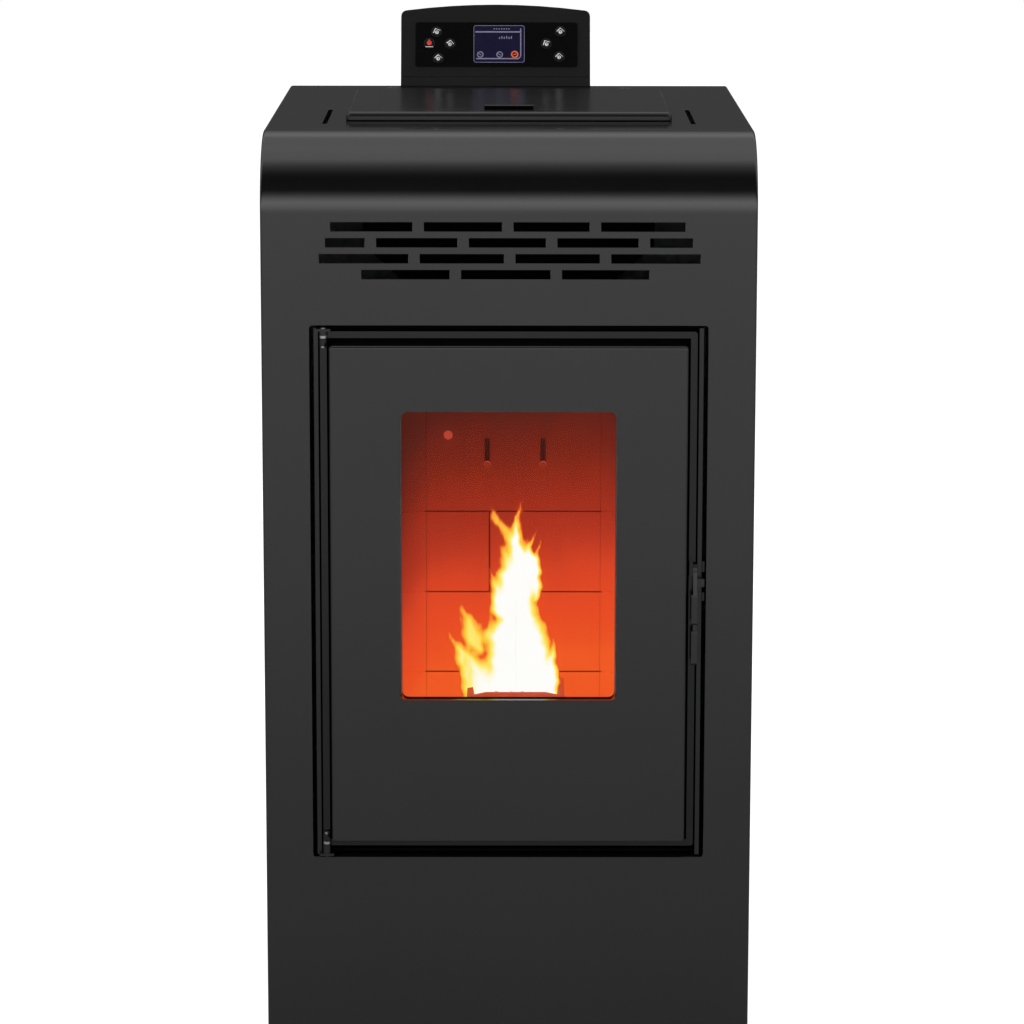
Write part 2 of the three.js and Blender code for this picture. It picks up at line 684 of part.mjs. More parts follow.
function foot() {
  const chamfer = 1.5;
  const pad = new THREE.LatheGeometry([
    new THREE.Vector2(0, 0),
    new THREE.Vector2(FOOT_RADIUS - chamfer, 0),
    new THREE.Vector2(FOOT_RADIUS, chamfer),
    new THREE.Vector2(FOOT_RADIUS, 4),
    new THREE.Vector2(FOOT_NUT_RADIUS + 1, FOOT_PAD),
    new THREE.Vector2(0, FOOT_PAD),
  ], 24).rotateX(Math.PI / 2);
  const nut = rodZ(FOOT_NUT_RADIUS, FOOT_PAD - 1, BASE_HEIGHT, 0, 0, 6);
  const stud = rodZ(STUD_THREAD_RADIUS, FOOT_PAD, BASE_TOP + 12, 0, 0);
  return join(pad, nut, stud);
}

function backPanel() {
  const half = HALF_WIDTH - SHEET;
  const panel = block(-half, half, BACK_FACE, BODY_DEPTH, BASE_HEIGHT, BODY_TOP - SHEET);
  const y0 = BACK_FACE - OVERCUT;
  const y1 = BODY_DEPTH + OVERCUT;
  const flueHole = rodY(FLUE_RADIUS + FIT, y0, y1, FLUE_X, FLUE_HEIGHT, 32);
  const intakeHole = rodY(INTAKE_RADIUS + FIT, y0, y1, INTAKE_PLACE, INTAKE_HEIGHT, 24);
  const inletHole = block(INLET_PLACE - INLET_WIDTH / 2 - FIT, INLET_PLACE + INLET_WIDTH / 2 + FIT,
    y0, y1, INLET_HEIGHT - INLET_BODY_HEIGHT / 2 - FIT, INLET_HEIGHT + INLET_BODY_HEIGHT / 2 + FIT);
  const grille = [-1, 1].flatMap((side) => Array.from({ length: GRILLE_ROWS }, (_, row) => {
    const x = GRILLE_MIDDLE + side * GRILLE_SPACING / 2;
    const z = GRILLE_LOW + row * GRILLE_PITCH;
    return block(x - GRILLE_SLOT_WIDTH / 2, x + GRILLE_SLOT_WIDTH / 2, y0, y1,
      z - GRILLE_SLOT_HEIGHT / 2, z + GRILLE_SLOT_HEIGHT / 2);
  }));
  return cut(panel, flueHole, intakeHole, inletHole, ...grille);
}

function addCasing() {
  const casing = group('casing');
  const shell = casingShell();
  addPiece(casing, 'front_panel', frontPanel(shell), 'paint');
  addPiece(casing, 'top_plate', topPlate(shell), 'paint');
  addPiece(casing, 'side_panel_left', sidePanel(shell, -1), 'paint');
  addPiece(casing, 'side_panel_right', sidePanel(shell, 1), 'paint');
  addPiece(casing, 'back_panel', backPanel(), 'zincSteel');
  addPiece(casing, 'base_plate', basePlate(), 'zincSteel');
  footPlaces().forEach(({ name, x, y }) => {
    addPiece(casing, name, foot(), 'rubber').position.set(x, y, 0);
  });
}

// ---------------------------------------------------------------- hopper and lid

// The funnel's outside or, with a wall, its inside.
function funnel(wall, top) {
  const slope = wall * Math.SQRT2;
  const front = HOPPER_FRONT + wall;
  const back = HOPPER_BACK - wall;
  const side = HOPPER_WIDTH / 2 - wall;
  const throatFront = THROAT_FRONT + wall;
  const throatSide = THROAT_WIDTH / 2 - wall;
  const bottom = THROAT_BOTTOM - (wall > 0 ? OVERCUT : 0);
  // Along a 45 degree slope the height falls as fast as the place moves.
  const frontKnee = BODY_TOP - HOPPER_STRAIGHT;
  const run = THROAT_FRONT - HOPPER_FRONT;
  const rise = frontKnee - THROAT_TOP;
  const fall = rise / run;
  const lift = wall * Math.hypot(1, fall);
  const frontTop = frontKnee - wall * fall + lift;
  const frontLow = THROAT_TOP - wall * fall + lift;
  const lengthwise = prismX([
    [front, top], [front, frontTop], [throatFront, frontLow], [throatFront, bottom],
    [back - (HOPPER_BACK - THROAT_BACK), bottom],
    [back - (HOPPER_BACK - THROAT_BACK), THROAT_TOP + slope / 2], [back, THROAT_TOP + slope / 2 + 3],
    [back, top],
  ], -HOPPER_WIDTH, HOPPER_WIDTH);
  const sideKnee = BODY_TOP - HOPPER_SIDE_STRAIGHT;
  const sideRun = (HOPPER_WIDTH - THROAT_WIDTH) / 2;
  const sideFall = (sideKnee - THROAT_TOP) / sideRun;
  const sideLift = wall * Math.hypot(1, sideFall);
  const sideTop = sideKnee - wall * sideFall + sideLift;
  const sideLow = THROAT_TOP - wall * sideFall + sideLift;
  const crosswise = prismY([
    [-side, top], [-side, sideTop], [-throatSide, sideLow], [-throatSide, bottom],
    [throatSide, bottom], [throatSide, sideLow], [side, sideTop], [side, top],
  ], 0, BODY_DEPTH);
  return common(lengthwise, crosswise);
}

function hopper() {
  const top = BODY_TOP - SHEET;
  const half = HOPPER_WIDTH / 2;
  const flange = block(-half - HOPPER_FLANGE, half + HOPPER_FLANGE, HOPPER_FRONT - HOPPER_FLANGE,
    HOPPER_BACK + HOPPER_FLANGE, top - HOPPER_WALL, top);
  const grateSeat = top - GRATE_DROP;
  const ledges = [-1, 1].map((side) => {
    const inner = side * (half - GRATE_LEDGE);
    const outer = side * (half - HOPPER_WALL / 2);
    return block(Math.min(inner, outer), Math.max(inner, outer), HOPPER_FRONT + 10,
      HOPPER_BACK - 10, grateSeat - HOPPER_WALL, grateSeat);
  });
  const shell = cut(join(funnel(0, top), flange), funnel(HOPPER_WALL, top + OVERCUT));
  return join(shell, ...ledges);
}

function hopperGrate() {
  const half = HOPPER_WIDTH / 2 - HOPPER_WALL - FIT * 2;
  const front = HOPPER_FRONT + HOPPER_WALL + FIT * 2;
  const back = HOPPER_BACK - HOPPER_WALL - FIT * 2;
  const low = BODY_TOP - SHEET - GRATE_DROP;
  const plate = block(-half, half, front, back, low, low + GRATE_THICKNESS);
  const stepX = (2 * half - GRATE_BAR_WIDTH) / GRATE_BARS;
  const stepY = (back - front - GRATE_BAR_WIDTH) / GRATE_CROSS_BARS;
  const gaps = [];
  for (let i = 0; i < GRATE_BARS; i += 1) {
    for (let j = 0; j < GRATE_CROSS_BARS; j += 1) {
      const x = -half + GRATE_BAR_WIDTH + i * stepX;
      const y = front + GRATE_BAR_WIDTH + j * stepY;
      gaps.push(block(x, x + stepX - GRATE_BAR_WIDTH, y, y + stepY - GRATE_BAR_WIDTH,
        low - OVERCUT, low + GRATE_THICKNESS + OVERCUT));
    }
  }
  return cut(plate, ...gaps);
}

// The lid's plan at a height: small round corners in front, larger ones behind.
function lidOutline(inset, z) {
  const half = LID_WIDTH / 2 - inset;
  const corners = [
    { x: -1, y: LID_FRONT + inset, radius: LID_FRONT_CORNER - inset, from: 180 },
    { x: 1, y: LID_FRONT + inset, radius: LID_FRONT_CORNER - inset, from: 270 },
    { x: 1, y: LID_BACK - inset, radius: LID_BACK_CORNER - inset, from: 0 },
    { x: -1, y: LID_BACK - inset, radius: LID_BACK_CORNER - inset, from: 90 },
  ];
  const steps = 4;
  return corners.flatMap(({ x, y, radius, from }) => {
    const centreX = x * (half - radius);
    const centreY = y < (LID_FRONT + LID_BACK) / 2 ? y + radius : y - radius;
    return Array.from({ length: steps + 1 }, (_, k) => {
      const angle = (from + (k / steps) * 90) * Math.PI / 180;
      return new THREE.Vector3(centreX + radius * Math.cos(angle),
        centreY + radius * Math.sin(angle), z);
    });
  });
}

function lidKnucklePlaces() {
  return [-1, 1].map((side) => side * LID_HINGE_SPACING / 2);
}

function hopperLid() {
  const lip = BODY_TOP + LID_GAP;
  const top = BODY_TOP + LID_HEIGHT;
  const rings = quarterRound(LID_ROLL, 4).reverse()
    .map(({ inset, along }) => lidOutline(inset, top - along));
  const outside = loft([lidOutline(0, lip), ...rings]);
  const under = loft([lidOutline(SHEET, lip - OVERCUT), lidOutline(SHEET, top - LID_ROLL),
    lidOutline(LID_ROLL, top - SHEET)]);
  const tray = cut(outside, under);
  const knuckles = lidKnucklePlaces().map((x) => {
    const x0 = x - LID_KNUCKLE_LENGTH;
    const barrel = rodX(LID_KNUCKLE_RADIUS, x0, x - FIT, LID_HINGE_Y, LID_HINGE_Z, 16);
    const arm = block(x0, x - FIT, LID_BACK - SHEET, LID_HINGE_Y, LID_HINGE_Z - 2, LID_HINGE_Z + 1);
    return join(barrel, arm);
  });
  const bores = lidKnucklePlaces().map((x) => rodX(LID_PIN_RADIUS + FIT,
    x - LID_KNUCKLE_LENGTH - OVERCUT, x + OVERCUT, LID_HINGE_Y, LID_HINGE_Z, 12));
  return cut(join(tray, ...knuckles), ...bores);
}

function lidHinge() {
  const leafTop = LID_LEAF - LID_HINGE_RISE;
  const leaf = block(-10, 12, 3, 24, -LID_HINGE_RISE, leafTop);
  const barrel = rodX(LID_KNUCKLE_RADIUS, 0, LID_KNUCKLE_LENGTH, 0, 0, 16);
  const web = prismX([[0, -LID_KNUCKLE_RADIUS], [6, -LID_HINGE_RISE], [6, leafTop],
    [2, 2.4], [0, LID_KNUCKLE_RADIUS]], 0, LID_KNUCKLE_LENGTH);
  const pin = rodX(LID_PIN_RADIUS, -LID_KNUCKLE_LENGTH - 1.5, 1, 0, 0, 12);
  return join(leaf, barrel, web, pin);
}

function lidSeal() {
  const half = FILL_WIDTH / 2 + 3;
  const low = BODY_TOP + FIT;
  const high = BODY_TOP + LID_HEIGHT - SHEET;
  const front = FILL_FRONT - 4;
  const back = FILL_BACK + 3;
  const outer = prismZ(roundedRectangle(-half - SEAL_WIDTH, half + SEAL_WIDTH, front - SEAL_WIDTH,
    back + SEAL_WIDTH, 6), low, high);
  const inner = prismZ(roundedRectangle(-half, half, front, back, 2), low - OVERCUT, high + OVERCUT);
  return cut(outer, inner);
}

function lidPull() {
  const base = BODY_TOP + LID_HEIGHT;
  const lip = 1.8; // thickness of the overhanging finger edge
  return prismX([
    [PULL_FRONT + PULL_DEPTH, base], [PULL_FRONT + PULL_DEPTH, base + 1.5],
    [PULL_FRONT + 9, base + PULL_HEIGHT], [PULL_FRONT, base + PULL_HEIGHT],
    [PULL_FRONT, base + PULL_HEIGHT - lip], [PULL_FRONT + 6, base + PULL_HEIGHT - lip],
    [PULL_FRONT + 8, base],
  ].reverse(), -PULL_WIDTH / 2, PULL_WIDTH / 2);
}

function addHopper() {
  const store = group('pellet_store');
  addPiece(store, 'hopper', hopper(), 'innerSteel');
  addPiece(store, 'hopper_grate', hopperGrate(), 'zincSteel');
  const lid = group('lid', store);
  addPiece(lid, 'hopper_lid', hopperLid(), 'paint');
  addPiece(lid, 'lid_seal', lidSeal(), 'rubber');
  addPiece(lid, 'lid_pull', lidPull(), 'paint');
  const names = ['lid_hinge_left', 'lid_hinge_right'];
  lidKnucklePlaces().forEach((x, k) => {
    addPiece(store, names[k], lidHinge(), 'moulded').position.set(x, LID_HINGE_Y, LID_HINGE_Z);
  });
}

// ---------------------------------------------------------------- door

function doorFrame() {
  const half = FRAME_WIDTH / 2;
  const body = prismY(roundedRectangle(-half, half, FRAME_BOTTOM, FRAME_TOP, FRAME_CORNER),
    FRAME_FACE, FRAME_BACK);
  const plateFace = FRAME_BACK - FRAME_PLATE;
  const hollow = block(-half + RIM_WIDTH, half - RIM_WIDTH, FRAME_FACE - OVERCUT, plateFace,
    FRAME_BOTTOM + RIM_WIDTH, FRAME_TOP - RIM_WIDTH);
  const glassBack = GLASS_FACE + GLASS_THICKNESS + FIT;
  const reveal = WINDOW_WIDTH / 2 - COLLAR_REVEAL;
  const low = WINDOW_BOTTOM - COLLAR_SILL;
  const high = WINDOW_TOP - COLLAR_REVEAL;
  const collar = block(-reveal - COLLAR_WALL, reveal + COLLAR_WALL, glassBack, FRAME_BACK,
    low - COLLAR_WALL, high + COLLAR_WALL);
  const view = prismY(roundedRectangle(-reveal, reveal, low, high, WINDOW_CORNER),
    glassBack - OVERCUT, FRAME_BACK + OVERCUT);
  const knuckles = hingeEnds().map(({ knuckle }) => join(
    rodZ(KNUCKLE_RADIUS, knuckle[0], knuckle[1], HINGE_X, HINGE_Y, 20),
    block(HINGE_X - KNUCKLE_RADIUS, HINGE_X + KNUCKLE_RADIUS - 0.6, HINGE_Y, FRAME_FACE + 1,
      knuckle[0], knuckle[1]),
  ));
  const bores = hingeEnds().map(({ knuckle }) => rodZ(HINGE_PIN_RADIUS + FIT,
    knuckle[0] - OVERCUT, knuckle[1] + OVERCUT, HINGE_X, HINGE_Y, 16));
  const lugRight = HANDLE_LEFT - FIT;
  const lugHalf = 7;
  const lug = block(half - RIM_WIDTH, lugRight, HINGE_Y - 6, FRAME_FACE + 1,
    HANDLE_PIVOT_Z - lugHalf, HANDLE_PIVOT_Z + lugHalf);
  const lugBore = rodX(HANDLE_PIN_RADIUS + FIT, half - RIM_WIDTH - OVERCUT, lugRight + OVERCUT,
    HINGE_Y, HANDLE_PIVOT_Z, 12);
  return cut(join(cut(body, hollow), collar, ...knuckles, lug), view, ...bores, lugBore);
}

// Heights of the two hinges: the door's knuckle, the pin with its collar, and the fixed ledge and
// boss that hold it.
function hingeEnds() {
  const top = FRAME_TOP - KNUCKLE_DROP;
  const bottom = FRAME_BOTTOM + KNUCKLE_DROP;
  const topCollar = top + FIT + HINGE_COLLAR_HEIGHT;
  const bottomCollar = bottom - FIT - HINGE_COLLAR_HEIGHT;
  const past = 0.8; // how far the pin stands out past the ledge
  const tip = 2; // and past the knuckle
  return [
    {
      name: 'hinge_pin_top',
      knuckle: [top - KNUCKLE_LENGTH, top],
      pin: [top - KNUCKLE_LENGTH - tip, PLATE_TOP + past],
      collar: [top + FIT, topCollar],
      boss: [topCollar, PLATE_TOP],
      ledge: [PLATE_TOP - LEDGE, PLATE_TOP],
    },
    {
      name: 'hinge_pin_bottom',
      knuckle: [bottom, bottom + KNUCKLE_LENGTH],
      pin: [PLATE_BOTTOM - past, bottom + KNUCKLE_LENGTH + tip],
      collar: [bottomCollar, bottom - FIT],
      boss: [PLATE_BOTTOM, bottomCollar],
      ledge: [PLATE_BOTTOM, PLATE_BOTTOM + LEDGE],
    },
  ];
}

function hingePin({ pin, collar }) {
  const shank = rodZ(HINGE_PIN_RADIUS, pin[0], pin[1], HINGE_X, HINGE_Y, 16);
  return join(shank, rodZ(HINGE_COLLAR_RADIUS, collar[0], collar[1], HINGE_X, HINGE_Y, 16));
}

// The cover's outline at a depth: a rounded rectangle, inset all round.
function coverOutline(inset, y) {
  const half = COVER_WIDTH / 2 - inset;
  const radius = COVER_CORNER - Math.min(inset, COVER_CORNER - 0.5);
  const shape = roundedRectangle(-half, half, COVER_BOTTOM + inset, COVER_TOP - inset, radius);
  const points = shape.getPoints(3).slice(0, -1);
  return points.map((point) => new THREE.Vector3(point.x, y, point.y));
}

function doorCover() {
  const face = -COVER_PROUD;
  const back = FRAME_BACK - FRAME_PLATE;
  const roll = quarterRound(COVER_EDGE_RADIUS, 4);
  // Rings run from the back to the face, so that they turn the right way for loft.
  const rings = roll.map(({ inset, along }) => coverOutline(inset, face + along)).reverse();
  const outside = loft([coverOutline(0, back), ...rings]);
  const inside = loft([coverOutline(SHEET, back + OVERCUT), coverOutline(SHEET, face + SHEET)]);
  const half = WINDOW_WIDTH / 2;
  const window = prismY(roundedRectangle(-half, half, WINDOW_BOTTOM, WINDOW_TOP, WINDOW_CORNER),
    face - OVERCUT, face + SHEET + OVERCUT);
  return cut(outside, inside, window);
}

function doorGlass() {
  const half = WINDOW_WIDTH / 2 + GLASS_OVERLAP;
  return prismY(roundedRectangle(-half, half, WINDOW_BOTTOM - GLASS_OVERLAP,
    WINDOW_TOP + GLASS_OVERLAP, WINDOW_CORNER), GLASS_FACE, GLASS_FACE + GLASS_THICKNESS);
}

function doorGasket() {
  const half = APERTURE_WIDTH / 2 + GASKET_MARGIN;
  const low = APERTURE_BOTTOM - GASKET_MARGIN;
  const high = APERTURE_TOP + GASKET_MARGIN;
  const back = FRONT_PLATE_FACE - FIT;
  const outer = prismY(roundedRectangle(-half - GASKET_WIDTH, half + GASKET_WIDTH,
    low - GASKET_WIDTH, high + GASKET_WIDTH, GASKET_WIDTH + 4), FRAME_BACK, back);
  const inner = prismY(roundedRectangle(-half, half, low, high, 4), FRAME_BACK - OVERCUT,
    back + OVERCUT);
  return cut(outer, inner);
}

// The lever hangs from a pin near its top. Its tooth reaches over the fixed flange into the keeper.
function handleLever() {
  const grip = (z0, z1) => prismX([
    [HINGE_Y - 12, z0 + 2], [HINGE_Y - 10, z0], [HINGE_Y - 5, z0], [HINGE_Y - 4, z0 + 2],
    [HINGE_Y - 4, z1 - 2], [HINGE_Y - 5, z1], [HINGE_Y - 10, z1], [HINGE_Y - 12, z1 - 2],
  ], HANDLE_RIGHT - GRIP_WIDTH + 0.4, HANDLE_RIGHT + 0.4);
  const pivotZ = HANDLE_PIVOT_Z;
  const bottom = pivotZ - HANDLE_LENGTH;
  const eye = rodX(HANDLE_EYE_RADIUS, HANDLE_LEFT, HANDLE_RIGHT, HINGE_Y, pivotZ, 16);
  const link = prismX([[HINGE_Y - 4, pivotZ], [HINGE_Y - 10.5, pivotZ - 24],
    [HINGE_Y - 10.5, bottom + 4], [HINGE_Y - 5.5, bottom + 4], [HINGE_Y - 5.5, pivotZ - 24],
    [HINGE_Y + 3, pivotZ - 3], [HINGE_Y + 3, pivotZ]], HANDLE_LEFT, HANDLE_RIGHT);
  const pin = rodX(HANDLE_PIN_RADIUS, FRAME_WIDTH / 2 - RIM_WIDTH + 0.6, HANDLE_LEFT + 1,
    HINGE_Y, pivotZ, 12);
  const toothRight = FLANGE_OUTER + KEEPER_THICKNESS - 0.9;
  const arm = block(HANDLE_RIGHT - 1, toothRight, HINGE_Y - 4, HINGE_Y + 2.8, pivotZ - 18,
    pivotZ - 10);
  const armRoot = block(HANDLE_LEFT, HANDLE_RIGHT, HINGE_Y - 5.6, HINGE_Y + 2.8, pivotZ - 18,
    pivotZ - 2);
  const tooth = block(FLANGE_OUTER + 0.5, toothRight, HINGE_Y + 1, HINGE_Y + 12, pivotZ - 18,
    pivotZ - 10);
  return join(eye, link, pin, armRoot, arm, tooth, grip(pivotZ - 55, pivotZ - 25),
    grip(bottom, pivotZ - 61));
}

function latchKeeper() {
  const z = HANDLE_PIVOT_Z - 14;
  const plate = block(FLANGE_OUTER, FLANGE_OUTER + KEEPER_THICKNESS, FLANGE_FACE + FIT,
    FRONT_PLATE_FACE - 4, z - 20, z + 20);
  const notch = block(FLANGE_OUTER - OVERCUT, FLANGE_OUTER + KEEPER_THICKNESS + OVERCUT,
    FLANGE_FACE - OVERCUT, FLANGE_FACE + 12, z - 11, z + 9);
  return cut(plate, notch);
}

function addDoor() {
  const door = group('door');
  addPiece(door, 'door_frame', doorFrame(), 'frameSteel');
  addPiece(door, 'door_cover', doorCover(), 'doorPaint');
  addPiece(door, 'door_glass', doorGlass(), 'glass');
  addPiece(door, 'door_gasket', doorGasket(), 'rope');
  addPiece(door, 'handle_lever', handleLever(), 'moulded');
  hingeEnds().forEach((end) => addPiece(door, end.name, hingePin(end), 'brightSteel'));
  addPiece(door, 'latch_keeper', latchKeeper(), 'frameSteel');
}

// ---------------------------------------------------------------- firebox

function frontPlate() {
  const x = FLANGE_OUTER;
  const face = FRONT_PLATE_FACE;
  const plate = block(-x, x, face, face + STEEL, PLATE_BOTTOM, PLATE_TOP);
  const half = APERTURE_WIDTH / 2;
  const aperture = prismY(roundedRectangle(-half, half, APERTURE_BOTTOM, APERTURE_TOP, 4),
    face - OVERCUT, face + STEEL + OVERCUT);
  const flanges = [-1, 1].map((side) => {
    const inner = side * FLANGE_INNER;
    const outer = side * FLANGE_OUTER;
    return block(Math.min(inner, outer), Math.max(inner, outer), FLANGE_FACE, face + 1,
      PLATE_BOTTOM, PLATE_TOP);
  });
  const ledges = hingeEnds().map(({ boss, ledge }) => join(
    block(-x, x, LEDGE_FACE, face + 1, ledge[0], ledge[1]),
    block(HINGE_X - HINGE_TAB / 2, HINGE_X + HINGE_TAB / 2, HINGE_Y - KNUCKLE_RADIUS,
      LEDGE_FACE + 1, ledge[0], ledge[1]),
    rodZ(KNUCKLE_RADIUS, boss[0], boss[1], HINGE_X, HINGE_Y, 20),
  ));
  const pinHoles = hingeEnds().map(({ boss }) => rodZ(HINGE_PIN_RADIUS + FIT / 3,
    boss[0] - OVERCUT, boss[1] + OVERCUT, HINGE_X, HINGE_Y, 16));
  return cut(join(cut(plate, aperture), ...flanges, ...ledges), ...pinHoles);
}

// The chute's lower and upper line at a distance behind the front face.
function chuteHeight(y) {
  const lipY = LINING_FACE + 6;
  return SHELF_TOP + CHUTE_RISE + (y - lipY) * Math.tan(CHUTE_SLOPE_DEG * Math.PI / 180);
}

// The chute's shape, grown by a margin, between two places behind the front face.
function chuteShape(y0, y1, margin) {
  return prismX([
    [y0, chuteHeight(y0) - margin], [y1, chuteHeight(y1) - margin],
    [y1, chuteHeight(y1) + CHUTE_HEIGHT + margin], [y0, chuteHeight(y0) + CHUTE_HEIGHT + margin],
  ], -CHUTE_WIDTH / 2 - margin, CHUTE_WIDTH / 2 + margin);
}

function potNeck(margin) {
  const half = POT_WIDTH / 2 - POT_NECK_INSET + margin;
  return {
    x0: POT_SHIFT - half,
    x1: POT_SHIFT + half,
    y0: POT_FRONT + POT_NECK_INSET - margin,
    y1: POT_FRONT + POT_DEPTH - POT_NECK_INSET + margin,
  };
}

function fireboxBody() {
  const half = FIREBOX_WIDTH / 2;
  const inner = FIREBOX_INNER_HALF;
  const back = FIREBOX_BACK;
  const box = block(-half, half, FIREBOX_FRONT, back, FIREBOX_BOTTOM, FIREBOX_TOP);
  const hollow = block(-inner, inner, FIREBOX_FRONT - OVERCUT, back - STEEL, FLOOR_TOP,
    FIREBOX_TOP - STEEL);
  const shelf = block(-inner - 1, inner + 1, FIREBOX_FRONT, SHELF_BACK, SHELF_UNDERSIDE, SHELF_TOP);
  const rearWall = block(-inner - 1, inner + 1, SHELF_BACK - STEEL, SHELF_BACK, FLOOR_TOP - 1,
    SHELF_TOP);
  const legs = [-1, 1].map((side) => {
    const x0 = side * LEG_SPACING / 2;
    const plate = block(x0 - STEEL / 2, x0 + STEEL / 2, LEG_FRONT, LEG_BACK, BASE_TOP,
      FIREBOX_BOTTOM + 1);
    const toe = x0 + side * LEG_FOOT;
    const footing = block(Math.min(x0, toe), Math.max(x0, toe), LEG_FRONT, LEG_BACK, BASE_TOP,
      BASE_TOP + STEEL);
    return join(plate, footing);
  });
  const seat = potNeck(FIT * 2);
  const potHole = block(seat.x0, seat.x1, seat.y0, seat.y1, SHELF_UNDERSIDE - OVERCUT,
    SHELF_TOP + OVERCUT);
  const ashSlots = [-1, 1].map((side) => {
    const middle = POT_SHIFT + side * ASH_SLOT_SPACING / 2;
    return block(middle - ASH_SLOT_WIDTH / 2, middle + ASH_SLOT_WIDTH / 2, ASH_SLOT_FRONT,
      ASH_SLOT_BACK, SHELF_UNDERSIDE - OVERCUT, SHELF_TOP + OVERCUT);
  });
  const y0 = SHELF_BACK - STEEL - OVERCUT;
  const y1 = back + OVERCUT;
  const smokeHole = rodY(EXHAUST_INLET_RADIUS, back - STEEL - OVERCUT, y1, EXHAUST_PLACE,
    EXHAUST_Z, 24);
  const intakeHole = rodY(INTAKE_RADIUS + FIT, y0, y1, INTAKE_PLACE, INTAKE_HEIGHT, 24);
  const igniterHole = rodY(IGNITER_RADIUS + FIT, y0, y1, IGNITER_PLACE, IGNITER_HEIGHT, 12);
  const whole = join(cut(box, hollow), shelf, rearWall, ...legs);
  return cut(whole, potHole, ...ashSlots, smokeHole, intakeHole, igniterHole,
    chuteShape(back - 20, back + 10, FIT * 2));
}

function tileJointHeights() {
  return Array.from({ length: TILE_JOINTS },
    (_, k) => SHELF_TOP + TILE_FIRST_JOINT + k * TILE_HEIGHT);
}

function liningBack() {
  const x0 = HEARTH_SHIFT - LINING_CENTRE_WIDTH / 2;
  const x1 = HEARTH_SHIFT + LINING_CENTRE_WIDTH / 2;
  const face = LINING_FACE;
  const slab = block(x0, x1, face, SHELF_BACK, SHELF_TOP + FIT, LINING_TOP);
  const joints = tileJointHeights().map((z) => block(x0 - OVERCUT, x1 + OVERCUT, face - OVERCUT,
    face + JOINT_DEPTH, z - JOINT_WIDTH / 2, z + JOINT_WIDTH / 2));
  const [, second, third] = tileJointHeights();
  const upright = block(TILE_UPRIGHT - JOINT_WIDTH / 2, TILE_UPRIGHT + JOINT_WIDTH / 2,
    face - OVERCUT, face + JOINT_DEPTH, second, third);
  const boltZ = SHELF_TOP + BOLT_RISE;
  const boltPlaces = [-1, 1].map((side) => BOLT_MIDDLE + side * BOLT_SPACING / 2);
  const keyholes = boltPlaces.map((x) => block(x - KEYHOLE_WIDTH / 2, x + KEYHOLE_WIDTH / 2,
    face - OVERCUT, face + KEYHOLE_DEPTH, boltZ, boltZ + KEYHOLE_LENGTH));
  const bolts = boltPlaces.map((x) => rodY(BOLT_RADIUS, face - BOLT_PROUD, face + KEYHOLE_DEPTH + 1,
    x, boltZ, 12));
  const stud = rodY(STUD_RADIUS, face - 1.5, face + 1, STUD_PLACE, SHELF_TOP + STUD_RISE, 16);
  const chuteHole = chuteShape(face - OVERCUT, SHELF_BACK + OVERCUT, FIT * 2);
  return join(cut(slab, ...joints, upright, ...keyholes, chuteHole), ...bolts, stud);
}

// A side lining stands on the shelf: a splayed face from the back lining, then a straight one.
function liningSide(side) {
  const corner = HEARTH_SHIFT + side * (LINING_CENTRE_WIDTH / 2 + SEAM);
  const straight = side * LINING_SIDE_HALF;
  const wall = side * (FIREBOX_INNER_HALF - FIT);
  const splay = Math.tan(LINING_SPLAY_DEG * Math.PI / 180);
  const knee = LINING_FACE - Math.abs(straight - corner) * splay;
  const footprint = [[corner, LINING_FACE], [straight, knee], [straight, LINING_FRONT],
    [wall, LINING_FRONT], [wall, SHELF_BACK], [corner, SHELF_BACK]];
  const slab = prismZ(side > 0 ? footprint : footprint.reverse(), SHELF_TOP + FIT, LINING_TOP);
  const deep = side * JOINT_DEPTH;
  const groove = [[corner - side * OVERCUT, LINING_FACE + OVERCUT * splay - OVERCUT],
    [straight - side * OVERCUT, knee - OVERCUT], [straight - side * OVERCUT, LINING_FRONT - OVERCUT],
    [straight + deep, LINING_FRONT - OVERCUT], [straight + deep, knee + JOINT_DEPTH],
    [corner - side * OVERCUT, LINING_FACE + OVERCUT * splay + JOINT_DEPTH]];
  const joints = tileJointHeights().map((z) => prismZ(side > 0 ? groove : [...groove].reverse(),
    z - JOINT_WIDTH / 2, z + JOINT_WIDTH / 2));
  return cut(slab, ...joints);
}

function baffle() {
  const half = FIREBOX_INNER_HALF - 4;
  return block(-half, half, BAFFLE_FRONT, LINING_FACE - 2, LINING_TOP, LINING_TOP + BAFFLE_THICKNESS);
}

